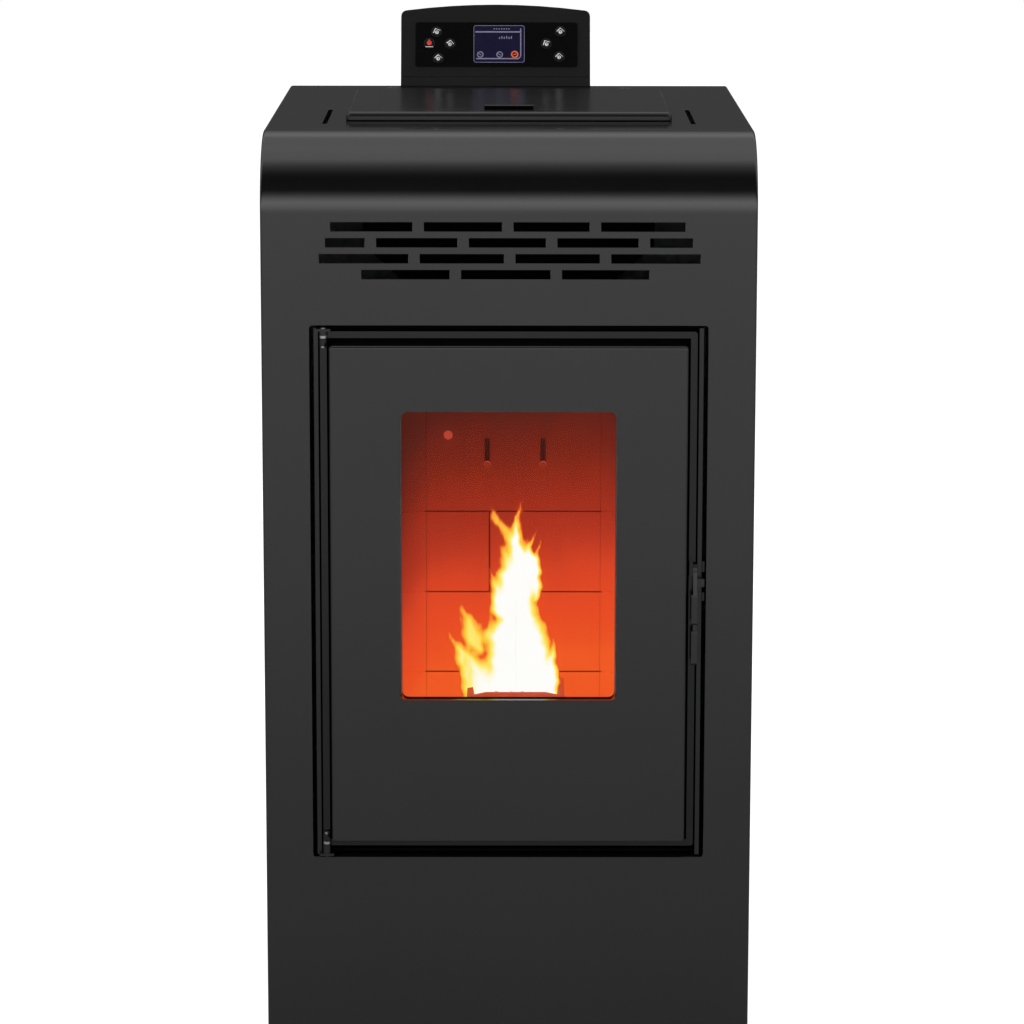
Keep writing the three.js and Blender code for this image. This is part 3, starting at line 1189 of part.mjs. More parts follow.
function burnPot() {
  const half = POT_WIDTH / 2;
  const back = POT_FRONT + POT_DEPTH;
  const rim = SHELF_TOP + POT_RISE;
  const low = SHELF_TOP + FIT;
  const shoulder = rim - POT_CROWN_DROP;
  const crown = POT_CROWN_WIDTH / 2;
  const upper = prismY([
    [POT_SHIFT - half, low], [POT_SHIFT + half, low], [POT_SHIFT + half, shoulder],
    [POT_SHIFT + crown, rim], [POT_SHIFT - crown, rim], [POT_SHIFT - half, shoulder],
  ], POT_FRONT, back);
  const neck = potNeck(0);
  const bottom = SHELF_TOP - POT_NECK_DEPTH;
  const lower = block(neck.x0, neck.x1, neck.y0, neck.y1, bottom, low + 1);
  const middleY = (POT_FRONT + back) / 2;
  // The bowl's plan at a height, inset from the pot's outside.
  const level = (inset, z) => {
    const x = half - inset;
    const y = POT_DEPTH / 2 - inset;
    return [[-x, -y], [x, -y], [x, y], [-x, y]]
      .map(([dx, dy]) => new THREE.Vector3(POT_SHIFT + dx, middleY + dy, z));
  };
  const bowl = loft([level(POT_NECK_INSET + POT_WALL + 4, bottom + POT_WALL),
    level(POT_WALL, rim + OVERCUT)]);
  const holes = [];
  for (let i = -1; i <= 1; i += 1) {
    for (let j = -1; j <= 1; j += 1) {
      holes.push(rodZ(POT_HOLE_RADIUS, bottom - OVERCUT, bottom + POT_WALL + OVERCUT,
        POT_SHIFT + i * POT_HOLE_PITCH, middleY + j * POT_HOLE_PITCH, 8));
    }
  }
  const flameHole = rodY(IGNITER_RADIUS + FIT, middleY, back, IGNITER_PLACE, IGNITER_HEIGHT, 12);
  return cut(join(upper, lower), bowl, flameHole, ...holes);
}

function airBox() {
  const neck = potNeck(AIR_BOX_MARGIN);
  const bottom = SHELF_UNDERSIDE - AIR_BOX_DEPTH;
  const wall = SHEET;
  const x0 = Math.min(neck.x0, INTAKE_PLACE - INTAKE_RADIUS - wall - 2);
  const box = block(x0, neck.x1, neck.y0, AIR_BOX_BACK, bottom, SHELF_UNDERSIDE);
  const hollow = block(x0 + wall, neck.x1 - wall, neck.y0 + wall, AIR_BOX_BACK - wall,
    bottom + wall, SHELF_UNDERSIDE + OVERCUT);
  const y0 = AIR_BOX_BACK - wall - OVERCUT;
  const y1 = AIR_BOX_BACK + OVERCUT;
  return cut(box, hollow, rodY(INTAKE_RADIUS - 2, y0, y1, INTAKE_PLACE, INTAKE_HEIGHT, 24),
    rodY(IGNITER_RADIUS + FIT, y0, y1, IGNITER_PLACE, IGNITER_HEIGHT, 12));
}

function intakePipe() {
  const y0 = AIR_BOX_BACK + FIT;
  return cut(rodY(INTAKE_RADIUS, y0, PIPE_END, INTAKE_PLACE, INTAKE_HEIGHT, 24),
    rodY(INTAKE_RADIUS - INTAKE_WALL, y0 - OVERCUT, PIPE_END + OVERCUT, INTAKE_PLACE,
      INTAKE_HEIGHT, 24));
}

function igniter() {
  const tip = potNeck(FIT * 2).y1;
  const end = FIREBOX_BACK + IGNITER_TAIL;
  const rod = rodY(IGNITER_RADIUS, tip, end, IGNITER_PLACE, IGNITER_HEIGHT, 12);
  const collar = rodY(9, FIREBOX_BACK + FIT, FIREBOX_BACK + 4, IGNITER_PLACE, IGNITER_HEIGHT, 12);
  return join(rod, collar);
}

function ashDrawer() {
  const half = DRAWER_WIDTH / 2;
  const back = SHELF_BACK - STEEL - 3;
  const low = FLOOR_TOP + FIT;
  const high = low + DRAWER_HEIGHT;
  const box = block(-half, half, DRAWER_FRONT, back, low, high);
  const hollow = block(-half + DRAWER_WALL, half - DRAWER_WALL, DRAWER_FRONT + DRAWER_WALL,
    back - DRAWER_WALL, low + DRAWER_WALL, high + OVERCUT);
  const grip = block(-35, 35, DRAWER_FRONT - 3, DRAWER_FRONT + 1, high - 12, high - 3);
  return join(cut(box, hollow), grip);
}

function addFirebox() {
  const fire = group('firebox');
  addPiece(fire, 'front_plate', frontPlate(), 'innerSteel');
  addPiece(fire, 'firebox_body', fireboxBody(), 'innerSteel');
  addPiece(fire, 'lining_back', liningBack(), 'refractory');
  addPiece(fire, 'lining_left', liningSide(-1), 'refractory');
  addPiece(fire, 'lining_right', liningSide(1), 'refractory');
  addPiece(fire, 'baffle', baffle(), 'refractory');
  addPiece(fire, 'burn_pot', burnPot(), 'castIron');
  addPiece(fire, 'air_box', airBox(), 'innerSteel');
  addPiece(fire, 'air_intake_pipe', intakePipe(), 'zincSteel');
  addPiece(fire, 'igniter', igniter(), 'zincSteel');
  addPiece(fire, 'ash_drawer', ashDrawer(), 'innerSteel');
}

// ---------------------------------------------------------------- pellet feed

// The auger's own frame: its origin at the low end, local Z up along the axis.
function placeAuger(object) {
  object.position.set(0, AUGER_LOW_Y, AUGER_LOW_Z);
  object.rotation.x = AUGER_CLIMB_DEG * Math.PI / 180;
}

function augerMatrix() {
  const frame = new THREE.Object3D();
  placeAuger(frame);
  frame.updateMatrix();
  return frame.matrix;
}

function augerTube() {
  const along = augerMatrix();
  const outer = rodZ(AUGER_RADIUS, 0, AUGER_LENGTH, 0, 0, 24).applyMatrix4(along);
  const plate = 3;
  const bore = rodZ(AUGER_RADIUS - AUGER_WALL, plate, AUGER_LENGTH - plate, 0, 0, 24)
    .applyMatrix4(along);
  const bearing = rodZ(AUGER_SHAFT_RADIUS + FIT, -OVERCUT, AUGER_LENGTH + OVERCUT, 0, 0, 12)
    .applyMatrix4(along);
  const chuteEnd = LINING_FACE + 95;
  const chute = chuteShape(LINING_FACE + 6, chuteEnd, 0);
  const chuteBore = chuteShape(LINING_FACE + 5, chuteEnd, -CHUTE_WALL);
  const socketTop = THROAT_BOTTOM + 7;
  const half = THROAT_WIDTH / 2;
  const rim = 4; // wall of the collar round the hopper's throat
  const collarBlock = block(-half - rim, half + rim, THROAT_FRONT - rim, THROAT_BACK + rim,
    AUGER_LOW_Z, socketTop);
  // Only the part of the collar above the axis and between the tube's ends is kept.
  const rise = AUGER_LENGTH * Math.SQRT1_2;
  const above = prismX([
    [AUGER_LOW_Y, AUGER_LOW_Z], [AUGER_LOW_Y + rise, AUGER_LOW_Z + rise],
    [AUGER_LOW_Y, AUGER_LOW_Z + 2 * rise], [AUGER_LOW_Y - rise, AUGER_LOW_Z + rise],
  ], -HOPPER_WIDTH, HOPPER_WIDTH);
  const collar = common(collarBlock, above);
  const socket = block(-half - FIT, half + FIT, THROAT_FRONT - FIT, THROAT_BACK + FIT,
    THROAT_BOTTOM - FIT, socketTop + OVERCUT);
  const dropFront = THROAT_FRONT + 3;
  const dropBack = THROAT_BACK - 3;
  const drop = prismX([
    [dropFront, AUGER_LINE - dropFront], [dropBack, AUGER_LINE - dropBack],
    [dropBack, THROAT_BOTTOM + OVERCUT], [dropFront, THROAT_BOTTOM + OVERCUT],
  ], -half + 4, half - 4);
  const whole = join(outer, chute, collar);
  return cut(whole, bore, bearing, chuteBore, socket, drop);
}

function augerScrew() {
  const first = 8;
  const turns = (AUGER_LENGTH - 2 * first) / FLIGHT_PITCH;
  const steps = Math.round(turns * FLIGHT_STEPS);
  const rings = [];
  for (let k = 0; k <= steps; k += 1) {
    const angle = -((k + 0.4) / FLIGHT_STEPS) * 2 * Math.PI;
    const z = first + (k / FLIGHT_STEPS) * FLIGHT_PITCH;
    const corner = (radius, dz) => new THREE.Vector3(radius * Math.cos(angle),
      radius * Math.sin(angle), z + dz);
    const inner = AUGER_SHAFT_RADIUS - 2;
    const half = FLIGHT_THICKNESS / 2;
    rings.push([corner(inner, -half), corner(FLIGHT_RADIUS, -half), corner(FLIGHT_RADIUS, half),
      corner(inner, half)]);
  }
  const shaft = rodZ(AUGER_SHAFT_RADIUS, -12, AUGER_LENGTH + 4, 0, 0, 12);
  return join(shaft, loft(rings));
}

function augerMotor() {
  const gearbox = block(-31, 31, -31, 31, -36, -FIT);
  const can = rodZ(23, -78, -35, 0, 0, 20);
  const tail = rodZ(5, -82, -77, 0, 0, 12);
  const bore = rodZ(AUGER_SHAFT_RADIUS + FIT, -14, OVERCUT, 0, 0, 12);
  return cut(join(gearbox, can, tail), bore);
}

function addFeed() {
  const feed = group('pellet_feed');
  addPiece(feed, 'auger_tube', augerTube(), 'innerSteel');
  const axis = group('auger_axis', feed);
  placeAuger(axis);
  addPiece(axis, 'auger_screw', augerScrew(), 'zincSteel');
  addPiece(axis, 'auger_motor', augerMotor(), 'zincSteel');
}

// ---------------------------------------------------------------- fans and flue

function exhaustHousing() {
  const wall = EXHAUST_WALL;
  const drum = rodY(EXHAUST_RADIUS, EXHAUST_FRONT, EXHAUST_BACK, EXHAUST_PLACE, EXHAUST_Z, 32);
  const stub = block(FLUE_X - STUB_HALF, FLUE_X + STUB_HALF, EXHAUST_FRONT, EXHAUST_BACK,
    STUB_BOTTOM, EXHAUST_Z);
  const drumVoid = rodY(EXHAUST_RADIUS - wall, EXHAUST_FRONT + wall, EXHAUST_BACK - wall,
    EXHAUST_PLACE, EXHAUST_Z, 32);
  const stubVoid = block(FLUE_X - STUB_HALF + wall, FLUE_X + STUB_HALF - wall,
    EXHAUST_FRONT + wall, EXHAUST_BACK - wall, STUB_BOTTOM + wall, EXHAUST_Z);
  const mouth = rodZ(FLUE_RADIUS - 4, STUB_BOTTOM - OVERCUT, STUB_BOTTOM + wall + OVERCUT, FLUE_X,
    FLUE_Y, 24);
  const inlet = rodY(EXHAUST_INLET_RADIUS, EXHAUST_FRONT - OVERCUT, EXHAUST_FRONT + wall + OVERCUT,
    EXHAUST_PLACE, EXHAUST_Z, 24);
  const shaftHole = rodY(7, EXHAUST_BACK - wall - OVERCUT, EXHAUST_BACK + OVERCUT, EXHAUST_PLACE,
    EXHAUST_Z, 12);
  return cut(join(drum, stub), drumVoid, stubVoid, mouth, inlet, shaftHole);
}

// A fan wheel on the Y axis, its back disc towards the motor.
function exhaustImpeller() {
  const depth = IMPELLER_DEPTH;
  const disc = rodY(IMPELLER_RADIUS, depth - 2.5, depth, 0, 0, 24);
  const hub = rodY(11, depth - 22, depth, 0, 0, 12);
  const shaft = rodY(MOTOR_SHAFT_RADIUS, depth - 1, depth + 24, 0, 0, 12);
  const blades = Array.from({ length: IMPELLER_BLADES }, (_, k) => {
    const blade = block(9, IMPELLER_RADIUS - 1, 4, depth - 1, -1.2, 1.2);
    return blade.rotateY(k * 2 * Math.PI / IMPELLER_BLADES);
  });
  return join(disc, hub, shaft, ...blades);
}

function exhaustMotor() {
  const can = rodY(36, 14, 66, 0, 0, 24);
  const flange = rodY(46, FIT, 3, 0, 0, 24);
  const neck = rodY(22, 2, 15, 0, 0, 16);
  const bore = rodY(MOTOR_SHAFT_RADIUS + FIT, -OVERCUT, 18, 0, 0, 12);
  return cut(join(can, flange, neck), bore);
}

// A pipe that drops from the fan's outlet and turns to the back.
function flueOutlet() {
  const sides = 24;
  const ring = (y, z, turn, radius) => Array.from({ length: sides }, (_, k) => {
    const angle = (k / sides) * 2 * Math.PI;
    const across = radius * Math.cos(angle);
    const over = radius * Math.sin(angle);
    return new THREE.Vector3(FLUE_X + across, y + over * Math.cos(turn), z + over * Math.sin(turn));
  });
  const top = STUB_BOTTOM - FIT;
  const centreY = FLUE_Y + FLUE_BEND_RADIUS;
  const centreZ = FLUE_HEIGHT + FLUE_BEND_RADIUS;
  const bendSteps = 6;
  const pipe = (radius, extra) => {
    const rings = [ring(FLUE_Y, top + extra, 0, radius)];
    for (let k = 0; k <= bendSteps; k += 1) {
      const turn = (k / bendSteps) * Math.PI / 2;
      rings.push(ring(centreY - FLUE_BEND_RADIUS * Math.cos(turn),
        centreZ - FLUE_BEND_RADIUS * Math.sin(turn), turn, radius));
    }
    rings.push(ring(PIPE_END + extra, FLUE_HEIGHT, Math.PI / 2, radius));
    return loft(rings.reverse());
  };
  return cut(pipe(FLUE_RADIUS, 0), pipe(FLUE_RADIUS - FLUE_WALL, OVERCUT));
}

// Both ends of the room fan's housing along X.
function roomFanEnds() {
  const half = ROTOR_LENGTH / 2 + 4;
  return [ROTOR_MIDDLE - half, ROTOR_MIDDLE + half];
}

function roomFanHousing() {
  const [left, right] = roomFanEnds();
  const plate = 2;
  const reach = ROTOR_RADIUS + SCROLL_CLEARANCE;
  const sheet = 1.6;
  const z = ROOM_FAN_HEIGHT;
  const top = z + 62;
  const endPlate = (x) => block(x, x + plate, ROOM_FAN_Y - reach - sheet, ROOM_FAN_Y + reach + 6,
    BASE_TOP, top);
  const arc = (radius, from, to, steps) => Array.from({ length: steps + 1 }, (_, k) => {
    const angle = (from + (k / steps) * (to - from)) * Math.PI / 180;
    return [ROOM_FAN_Y + radius * Math.cos(angle), z + radius * Math.sin(angle)];
  });
  // From the front wall down round the rotor and up to the inlet's lower lip.
  const scroll = prismX([
    [ROOM_FAN_Y - reach - sheet, top], ...arc(reach + sheet, 180, 325, 12),
    ...arc(reach, 325, 180, 12), [ROOM_FAN_Y - reach, top],
  ], left, right);
  const tongue = prismX([[ROOM_FAN_Y + 4, z + reach], [ROOM_FAN_Y + 7, z + reach],
    [ROOM_FAN_Y + 7, top], [ROOM_FAN_Y + 4, top]], left, right);
  const bores = [left, right - plate].map((x) => rodX(MOTOR_SHAFT_RADIUS + FIT, x - OVERCUT,
    x + plate + OVERCUT, ROOM_FAN_Y, z, 12));
  return cut(join(endPlate(left), endPlate(right - plate), scroll, tongue), ...bores);
}

// The cross-flow rotor on the X axis: blades between two end discs and a middle ring.
function roomFanRotor() {
  const half = ROTOR_LENGTH / 2;
  const discs = [[-half, -half + 2], [-1, 1], [half - 2, half]]
    .map(([x0, x1]) => rodX(ROTOR_RADIUS - 0.5, x0, x1, 0, 0, ROTOR_BLADES));
  const blades = Array.from({ length: ROTOR_BLADES }, (_, k) => {
    const blade = block(-half, half, -4, 4, -0.7, 0.7).rotateX(0.6);
    return blade.translate(0, ROTOR_RADIUS - 5, 0).rotateX(k * 2 * Math.PI / ROTOR_BLADES);
  });
  const shafts = [rodX(MOTOR_SHAFT_RADIUS, -half - 14, -half + 1, 0, 0, 12),
    rodX(MOTOR_SHAFT_RADIUS, half - 1, half + 7, 0, 0, 12)];
  return join(...discs, ...blades, ...shafts);
}

function roomFanMotor() {
  const [left] = roomFanEnds();
  const x1 = left - FIT;
  const x0 = x1 - 36;
  const z = ROOM_FAN_HEIGHT;
  const can = rodX(27, x0, x1, ROOM_FAN_Y, z, 20);
  const bracket = block(x0 + 6, x1 - 6, ROOM_FAN_Y - 18, ROOM_FAN_Y + 18, BASE_TOP, z - 10);
  const bore = rodX(MOTOR_SHAFT_RADIUS + FIT, x1 - 12, x1 + OVERCUT, ROOM_FAN_Y, z, 12);
  return cut(join(can, bracket), bore);
}

function addFans() {
  const air = group('fans_and_flue');
  addPiece(air, 'exhaust_fan_housing', exhaustHousing(), 'castIron');
  addPiece(air, 'exhaust_impeller', exhaustImpeller(), 'zincSteel')
    .position.set(EXHAUST_PLACE, EXHAUST_BACK - EXHAUST_WALL - IMPELLER_DEPTH - 8, EXHAUST_Z);
  addPiece(air, 'exhaust_motor', exhaustMotor(), 'zincSteel')
    .position.set(EXHAUST_PLACE, EXHAUST_BACK, EXHAUST_Z);
  addPiece(air, 'flue_outlet', flueOutlet(), 'zincSteel');
  addPiece(air, 'room_fan_housing', roomFanHousing(), 'zincSteel');
  addPiece(air, 'room_fan_rotor', roomFanRotor(), 'zincSteel')
    .position.set(ROTOR_MIDDLE, ROOM_FAN_Y, ROOM_FAN_HEIGHT);
  addPiece(air, 'room_fan_motor', roomFanMotor(), 'innerSteel');
}

// ---------------------------------------------------------------- control panel

// The leaning panel's own frame: its origin at the foot of its face, local -Y out of the face.
function placePanel(object) {
  object.position.set(PANEL_SHIFT, PANEL_Y, BODY_TOP);
  object.rotation.x = -PANEL_LEAN_DEG * Math.PI / 180;
}

// The panel's face outline: straight sides, round corners and a shallow arch on top.
function panelOutline(inset) {
  const half = PANEL_WIDTH / 2 - inset;
  const radius = PANEL_CORNER - inset / 2;
  const shoulder = PANEL_CORNER_HEIGHT - inset;
  const shape = new THREE.Shape();
  shape.moveTo(-half, inset);
  shape.lineTo(half, inset);
  shape.lineTo(half, shoulder - radius);
  shape.quadraticCurveTo(half, shoulder, half - radius, shoulder + 0.6);
  shape.quadraticCurveTo(0, shoulder + 2 * PANEL_CROWN - 0.6, radius - half, shoulder + 0.6);
  shape.quadraticCurveTo(-half, shoulder, -half, shoulder - radius);
  return shape;
}

function keyHole(radius, y0, y1, { across, up }) {
  return rodY(radius, y0, y1, across, up, 20);
}

function controlHousing() {
  const frame = new THREE.Object3D();
  placePanel(frame);
  frame.position.x = 0;
  frame.updateMatrix();
  const body = prismY(panelOutline(0), 0, PANEL_DEPTH, 8);
  const hollow = prismY(panelOutline(PANEL_WALL), PANEL_WALL, PANEL_DEPTH - PANEL_WALL, 8);
  const groove = block(-PANEL_WIDTH, PANEL_WIDTH, -OVERCUT, PANEL_GROOVE, PANEL_FOOT,
    PANEL_FOOT + PANEL_GROOVE);
  const stems = KEYS.map((key) => keyHole(KEY_STEM_RADIUS + 2 * FIT, -OVERCUT,
    PANEL_WALL + OVERCUT, key));
  const displayX = DISPLAY_SHIFT;
  const displayHole = block(displayX - 24, displayX + 24, -OVERCUT, PANEL_WALL + OVERCUT,
    DISPLAY_RISE + 5, DISPLAY_RISE + DISPLAY_HEIGHT - 5);
  const leaning = cut(body, hollow, groove, ...stems, displayHole).applyMatrix4(frame.matrix);
  const x = 60;
  const bracket = prismX([
    [BODY_DEPTH, BODY_TOP - 34], [BODY_DEPTH + SHEET + 1, BODY_TOP - 34],
    [BODY_DEPTH + SHEET + 1, BODY_TOP - 12], [PANEL_Y + 19, BODY_TOP - 3.5],
    [PANEL_Y + 15, BODY_TOP + 1], [BODY_DEPTH, BODY_TOP + 1],
  ], -x, x);
  const seat = block(-PANEL_WIDTH, PANEL_WIDTH, 0, BODY_DEPTH, BODY_TOP - 60, BODY_TOP + FIT);
  // The wires leave through a slot in the back, behind the casing.
  const wireSlot = block(-14, 14, PANEL_DEPTH - PANEL_WALL - OVERCUT, PANEL_DEPTH + OVERCUT, 12, 18)
    .applyMatrix4(frame.matrix);
  return cut(join(leaning, bracket), seat, wireSlot);
}

function fasciaPlate() {
  const x0 = FASCIA_SHIFT - FASCIA_WIDTH / 2;
  const plate = prismY(roundedRectangle(x0, x0 + FASCIA_WIDTH, FASCIA_RISE,
    FASCIA_RISE + FASCIA_HEIGHT, 3), -FASCIA_THICKNESS - FIT, -FIT);
  const half = DISPLAY_WIDTH / 2 + FIT;
  const opening = block(DISPLAY_SHIFT - half, DISPLAY_SHIFT + half, -10, 10, DISPLAY_RISE - FIT,
    DISPLAY_RISE + DISPLAY_HEIGHT + FIT);
  const holes = KEYS.map((key) => keyHole(KEY_RADIUS + FIT, -10, 10, key));
  return cut(plate, opening, ...holes);
}

function displayWindow() {
  const half = DISPLAY_WIDTH / 2;
  return prismY(roundedRectangle(DISPLAY_SHIFT - half, DISPLAY_SHIFT + half, DISPLAY_RISE,
    DISPLAY_RISE + DISPLAY_HEIGHT, 2.5), -DISPLAY_THICKNESS - FIT, -FIT);
}

function controlBoard() {
  const face = PANEL_WALL + KEY_TRAVEL + 6;
  const board = block(-92, 92, face, face + 1.6, 16, 76);
  const module = block(DISPLAY_SHIFT - 27, DISPLAY_SHIFT + 27, PANEL_WALL + FIT, face + 0.5,
    DISPLAY_RISE, DISPLAY_RISE + DISPLAY_HEIGHT);
  const posts = [[-84, 22], [84, 22], [-84, 71], [84, 71]]
    .map(([x, z]) => rodY(2.5, PANEL_WALL + FIT, face + 0.5, x, z, 10));
  return join(board, module, ...posts);
}

// One key: a round cap in the fascia's hole, with a stem through the housing's face.
function keyPiece() {
  const capBack = -KEY_TRAVEL - FIT;
  const cap = rodY(KEY_RADIUS, -FASCIA_THICKNESS - FIT - KEY_PROUD, capBack, 0, 0, 20);
  const stem = rodY(KEY_STEM_RADIUS, capBack - 0.5, PANEL_WALL + 5.6, 0, 0, 10);
  return join(cap, stem);
}

function addControls() {
  const controls = group('controls');
  addPiece(controls, 'control_housing', controlHousing(), 'moulded').position.x = PANEL_SHIFT;
  const panel = group('panel_face', controls);
  placePanel(panel);
  addPiece(panel, 'control_fascia', fasciaPlate(), 'fascia');
  addPiece(panel, 'display_window', displayWindow(), 'screen');
  addPiece(panel, 'control_board', controlBoard(), 'circuit');
  KEYS.forEach(({ name, across, up }) => {
    const finish = name === 'key_power' ? 'powerCap' : 'keyCap';
    addPiece(panel, name, keyPiece(), finish).position.set(across, 0, up);
  });
}

// ---------------------------------------------------------------- electrics

function mainBoard() {
  const wall = SHEET - HALF_WIDTH; // the left side panel's inner face
  const face = wall + 12;
  const board = block(face, face + 1.6, 300, 440, 420, 560);
  const posts = [[308, 428], [432, 428], [308, 552], [432, 552]]
    .map(([y, z]) => rodX(4, wall, face + 1, y, z, 10));
  const parts = [
    block(face + 1, face + 30, 315, 355, 500, 545),
    block(face + 1, face + 18, 370, 388, 515, 545),
    block(face + 1, face + 18, 396, 414, 515, 545),
    block(face + 1, face + 12, 312, 425, 426, 440),
    rodX(9, face + 1, face + 26, 345, 470, 16),
    block(face + 1, face + 5, 375, 405, 462, 492),
  ];
  return join(board, ...posts, ...parts);
}

// Mains inlet below, rocker opening above, in one flanged module.
function powerInlet() {
  const half = INLET_WIDTH / 2;
  const tall = INLET_BODY_HEIGHT / 2;
  const back = BODY_DEPTH;
  const body = block(-half, half, back - 26, back + 1, -tall, tall);
  const flange = prismY(roundedRectangle(-half - INLET_FLANGE, half + INLET_FLANGE,
    -tall - INLET_FLANGE, tall + INLET_FLANGE, 4), back, back + 3.5);
  const face = back + 3.5;
  const socket = block(-12, 12, face - 18, face + OVERCUT, -24, -7.5);
  const pins = [[-7, -17.5], [7, -17.5], [0, -13.5]]
    .map(([x, z]) => block(x - 1, x + 1, face - 20, face - 3, z - 2.5, z + 2.5));
  const rockerWell = block(-7.3, 7.3, face - 13, face + OVERCUT, 0.7, 24.3);
  return join(cut(join(body, flange), socket, rockerWell), ...pins);
}

// The rocker tips about an axis along X, and rests with its upper half in.
function powerSwitch() {
  const rocker = prismX([[-9, -7], [0.5, -10.6], [1.6, -10], [0.4, 0], [1.6, 10], [0.5, 10.6],
    [-9, 7]], -7, 7);
  return rocker.rotateX(ROCKER_TILT_DEG * Math.PI / 180);
}

function addElectrics() {
  const electrics = group('electrics');
  addPiece(electrics, 'main_board', mainBoard(), 'circuit');
  addPiece(electrics, 'power_inlet', powerInlet(), 'moulded')
    .position.set(INLET_PLACE, 0, INLET_HEIGHT);
  addPiece(electrics, 'power_switch', powerSwitch(), 'powerCap')
    .position.set(INLET_PLACE, BODY_DEPTH + 2.5, INLET_HEIGHT + 12.5);
}

addCasing();
addHopper();
addDoor();
addFirebox();
addFeed();
addFans();
addControls();
addElectrics();

// The outline runs from the door's face to the ends of the pipes.
stove.position.y = -(PIPE_END - COVER_PROUD) / 2;

export default stove;
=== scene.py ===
"""A pellet stove in black enamelled steel, with a fire burning behind its glass.

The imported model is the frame. Each of its pieces gets rounded edges and a finish, and the fire, the
screws, the rope seal, the collars at the back and the marks on the control panel are made here.
"""

import json
import math

import bmesh
import bpy
from mathutils import Matrix, Vector

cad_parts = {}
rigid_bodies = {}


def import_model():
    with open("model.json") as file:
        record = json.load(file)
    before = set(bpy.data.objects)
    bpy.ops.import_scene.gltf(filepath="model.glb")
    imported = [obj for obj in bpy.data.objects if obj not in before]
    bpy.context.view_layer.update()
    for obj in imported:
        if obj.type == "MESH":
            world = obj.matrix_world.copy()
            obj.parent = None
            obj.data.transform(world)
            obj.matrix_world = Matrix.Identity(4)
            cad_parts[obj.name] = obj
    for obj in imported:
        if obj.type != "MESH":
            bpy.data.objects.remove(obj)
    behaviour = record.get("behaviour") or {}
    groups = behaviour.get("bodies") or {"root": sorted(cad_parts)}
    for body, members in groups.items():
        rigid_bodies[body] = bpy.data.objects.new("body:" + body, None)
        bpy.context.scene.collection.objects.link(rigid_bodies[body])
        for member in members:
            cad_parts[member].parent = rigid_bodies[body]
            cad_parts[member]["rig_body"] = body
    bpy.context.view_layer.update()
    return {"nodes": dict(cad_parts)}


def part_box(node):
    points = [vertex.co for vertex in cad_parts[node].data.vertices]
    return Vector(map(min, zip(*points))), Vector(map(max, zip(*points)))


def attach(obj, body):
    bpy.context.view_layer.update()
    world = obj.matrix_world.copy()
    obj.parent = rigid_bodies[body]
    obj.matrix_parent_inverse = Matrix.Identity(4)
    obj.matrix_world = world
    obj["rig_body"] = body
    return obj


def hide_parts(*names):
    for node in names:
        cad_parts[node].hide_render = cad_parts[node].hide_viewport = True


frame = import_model()

MM = 0.001

# ------------------------------------------------------------------ places taken from the frame

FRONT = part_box("front_panel")[0].y  # the cabinet's front face
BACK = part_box("back_panel")[1].y  # the back panel's outer face
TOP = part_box("top_plate")[1].z  # the flat top
POT_LOW, POT_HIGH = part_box("burn_pot")
POT_MIDDLE = (POT_LOW + POT_HIGH) / 2
WINDOW_LOW, WINDOW_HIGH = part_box("door_glass")
GASKET_LOW, GASKET_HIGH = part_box("door_gasket")
TILE_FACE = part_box("lining_back")[0].y + 7 * MM  # the bolt heads stand 7 mm out of the back tiles
TILE_WIDTH = 168 * MM  # what the side tiles leave of the back tiles
LID_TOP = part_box("hopper_lid")[1].z
FLUE_LOW, FLUE_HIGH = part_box("flue_outlet")
FLUE = Vector(((FLUE_LOW.x + FLUE_HIGH.x) / 2, BACK, 140 * MM))  # where it leaves the back
INTAKE_LOW, INTAKE_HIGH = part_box("air_intake_pipe")
INTAKE = (INTAKE_LOW + INTAKE_HIGH) / 2

# The control panel's own frame: x across, z up its slope, -y out of its face
PANEL_LEAN = math.radians(20.2)
PANEL_FOOT = Vector((-14.5 * MM, BACK - 6 * MM, TOP))
PANEL = Matrix.Translation(PANEL_FOOT) @ Matrix.Rotation(-PANEL_LEAN, 4, "X")
DISPLAY_FACE = -2.1 * MM
DISPLAY_LEFT, DISPLAY_RIGHT = -24.3 * MM, 32.0 * MM
DISPLAY_LOW, DISPLAY_HIGH = 26.0 * MM, 68.5 * MM
KEY_FACE = -3.0 * MM
INK_THICKNESS = 0.12 * MM


# ------------------------------------------------------------------ node trees

class Amount:
    """A number that changes over a surface or a path; operators on it add Math nodes."""

    def __init__(self, tree, socket):
        self.tree = tree
        self.socket = socket

    def clamped(self, low, high):
        return self.tree.amount("ShaderNodeClamp", {}, {"Value": self, "Min": low, "Max": high})

    def step(self, low, high):
        """0 below low and 1 above high, smooth between them."""
        return self.tree.amount("ShaderNodeMapRange", {"interpolation_type": "SMOOTHSTEP"},
                                {"Value": self, "From Min": low, "From Max": high})

    def __neg__(self):
        return 0 - self


def math_operator(operation, swapped=False):
    def method(self, other):
        first, second = (other, self) if swapped else (self, other)
        return self.tree.math(operation, first, second)
    return method


for symbol, operation in (("add", "ADD"), ("sub", "SUBTRACT"), ("mul", "MULTIPLY"),
                          ("truediv", "DIVIDE"), ("pow", "POWER")):
    setattr(Amount, f"__{symbol}__", math_operator(operation))
    setattr(Amount, f"__r{symbol}__", math_operator(operation, swapped=True))


def cleared(owner):
    """The empty node tree of a material or a world."""
    owner.use_nodes = True
    owner.node_tree.nodes.clear()
    return owner.node_tree


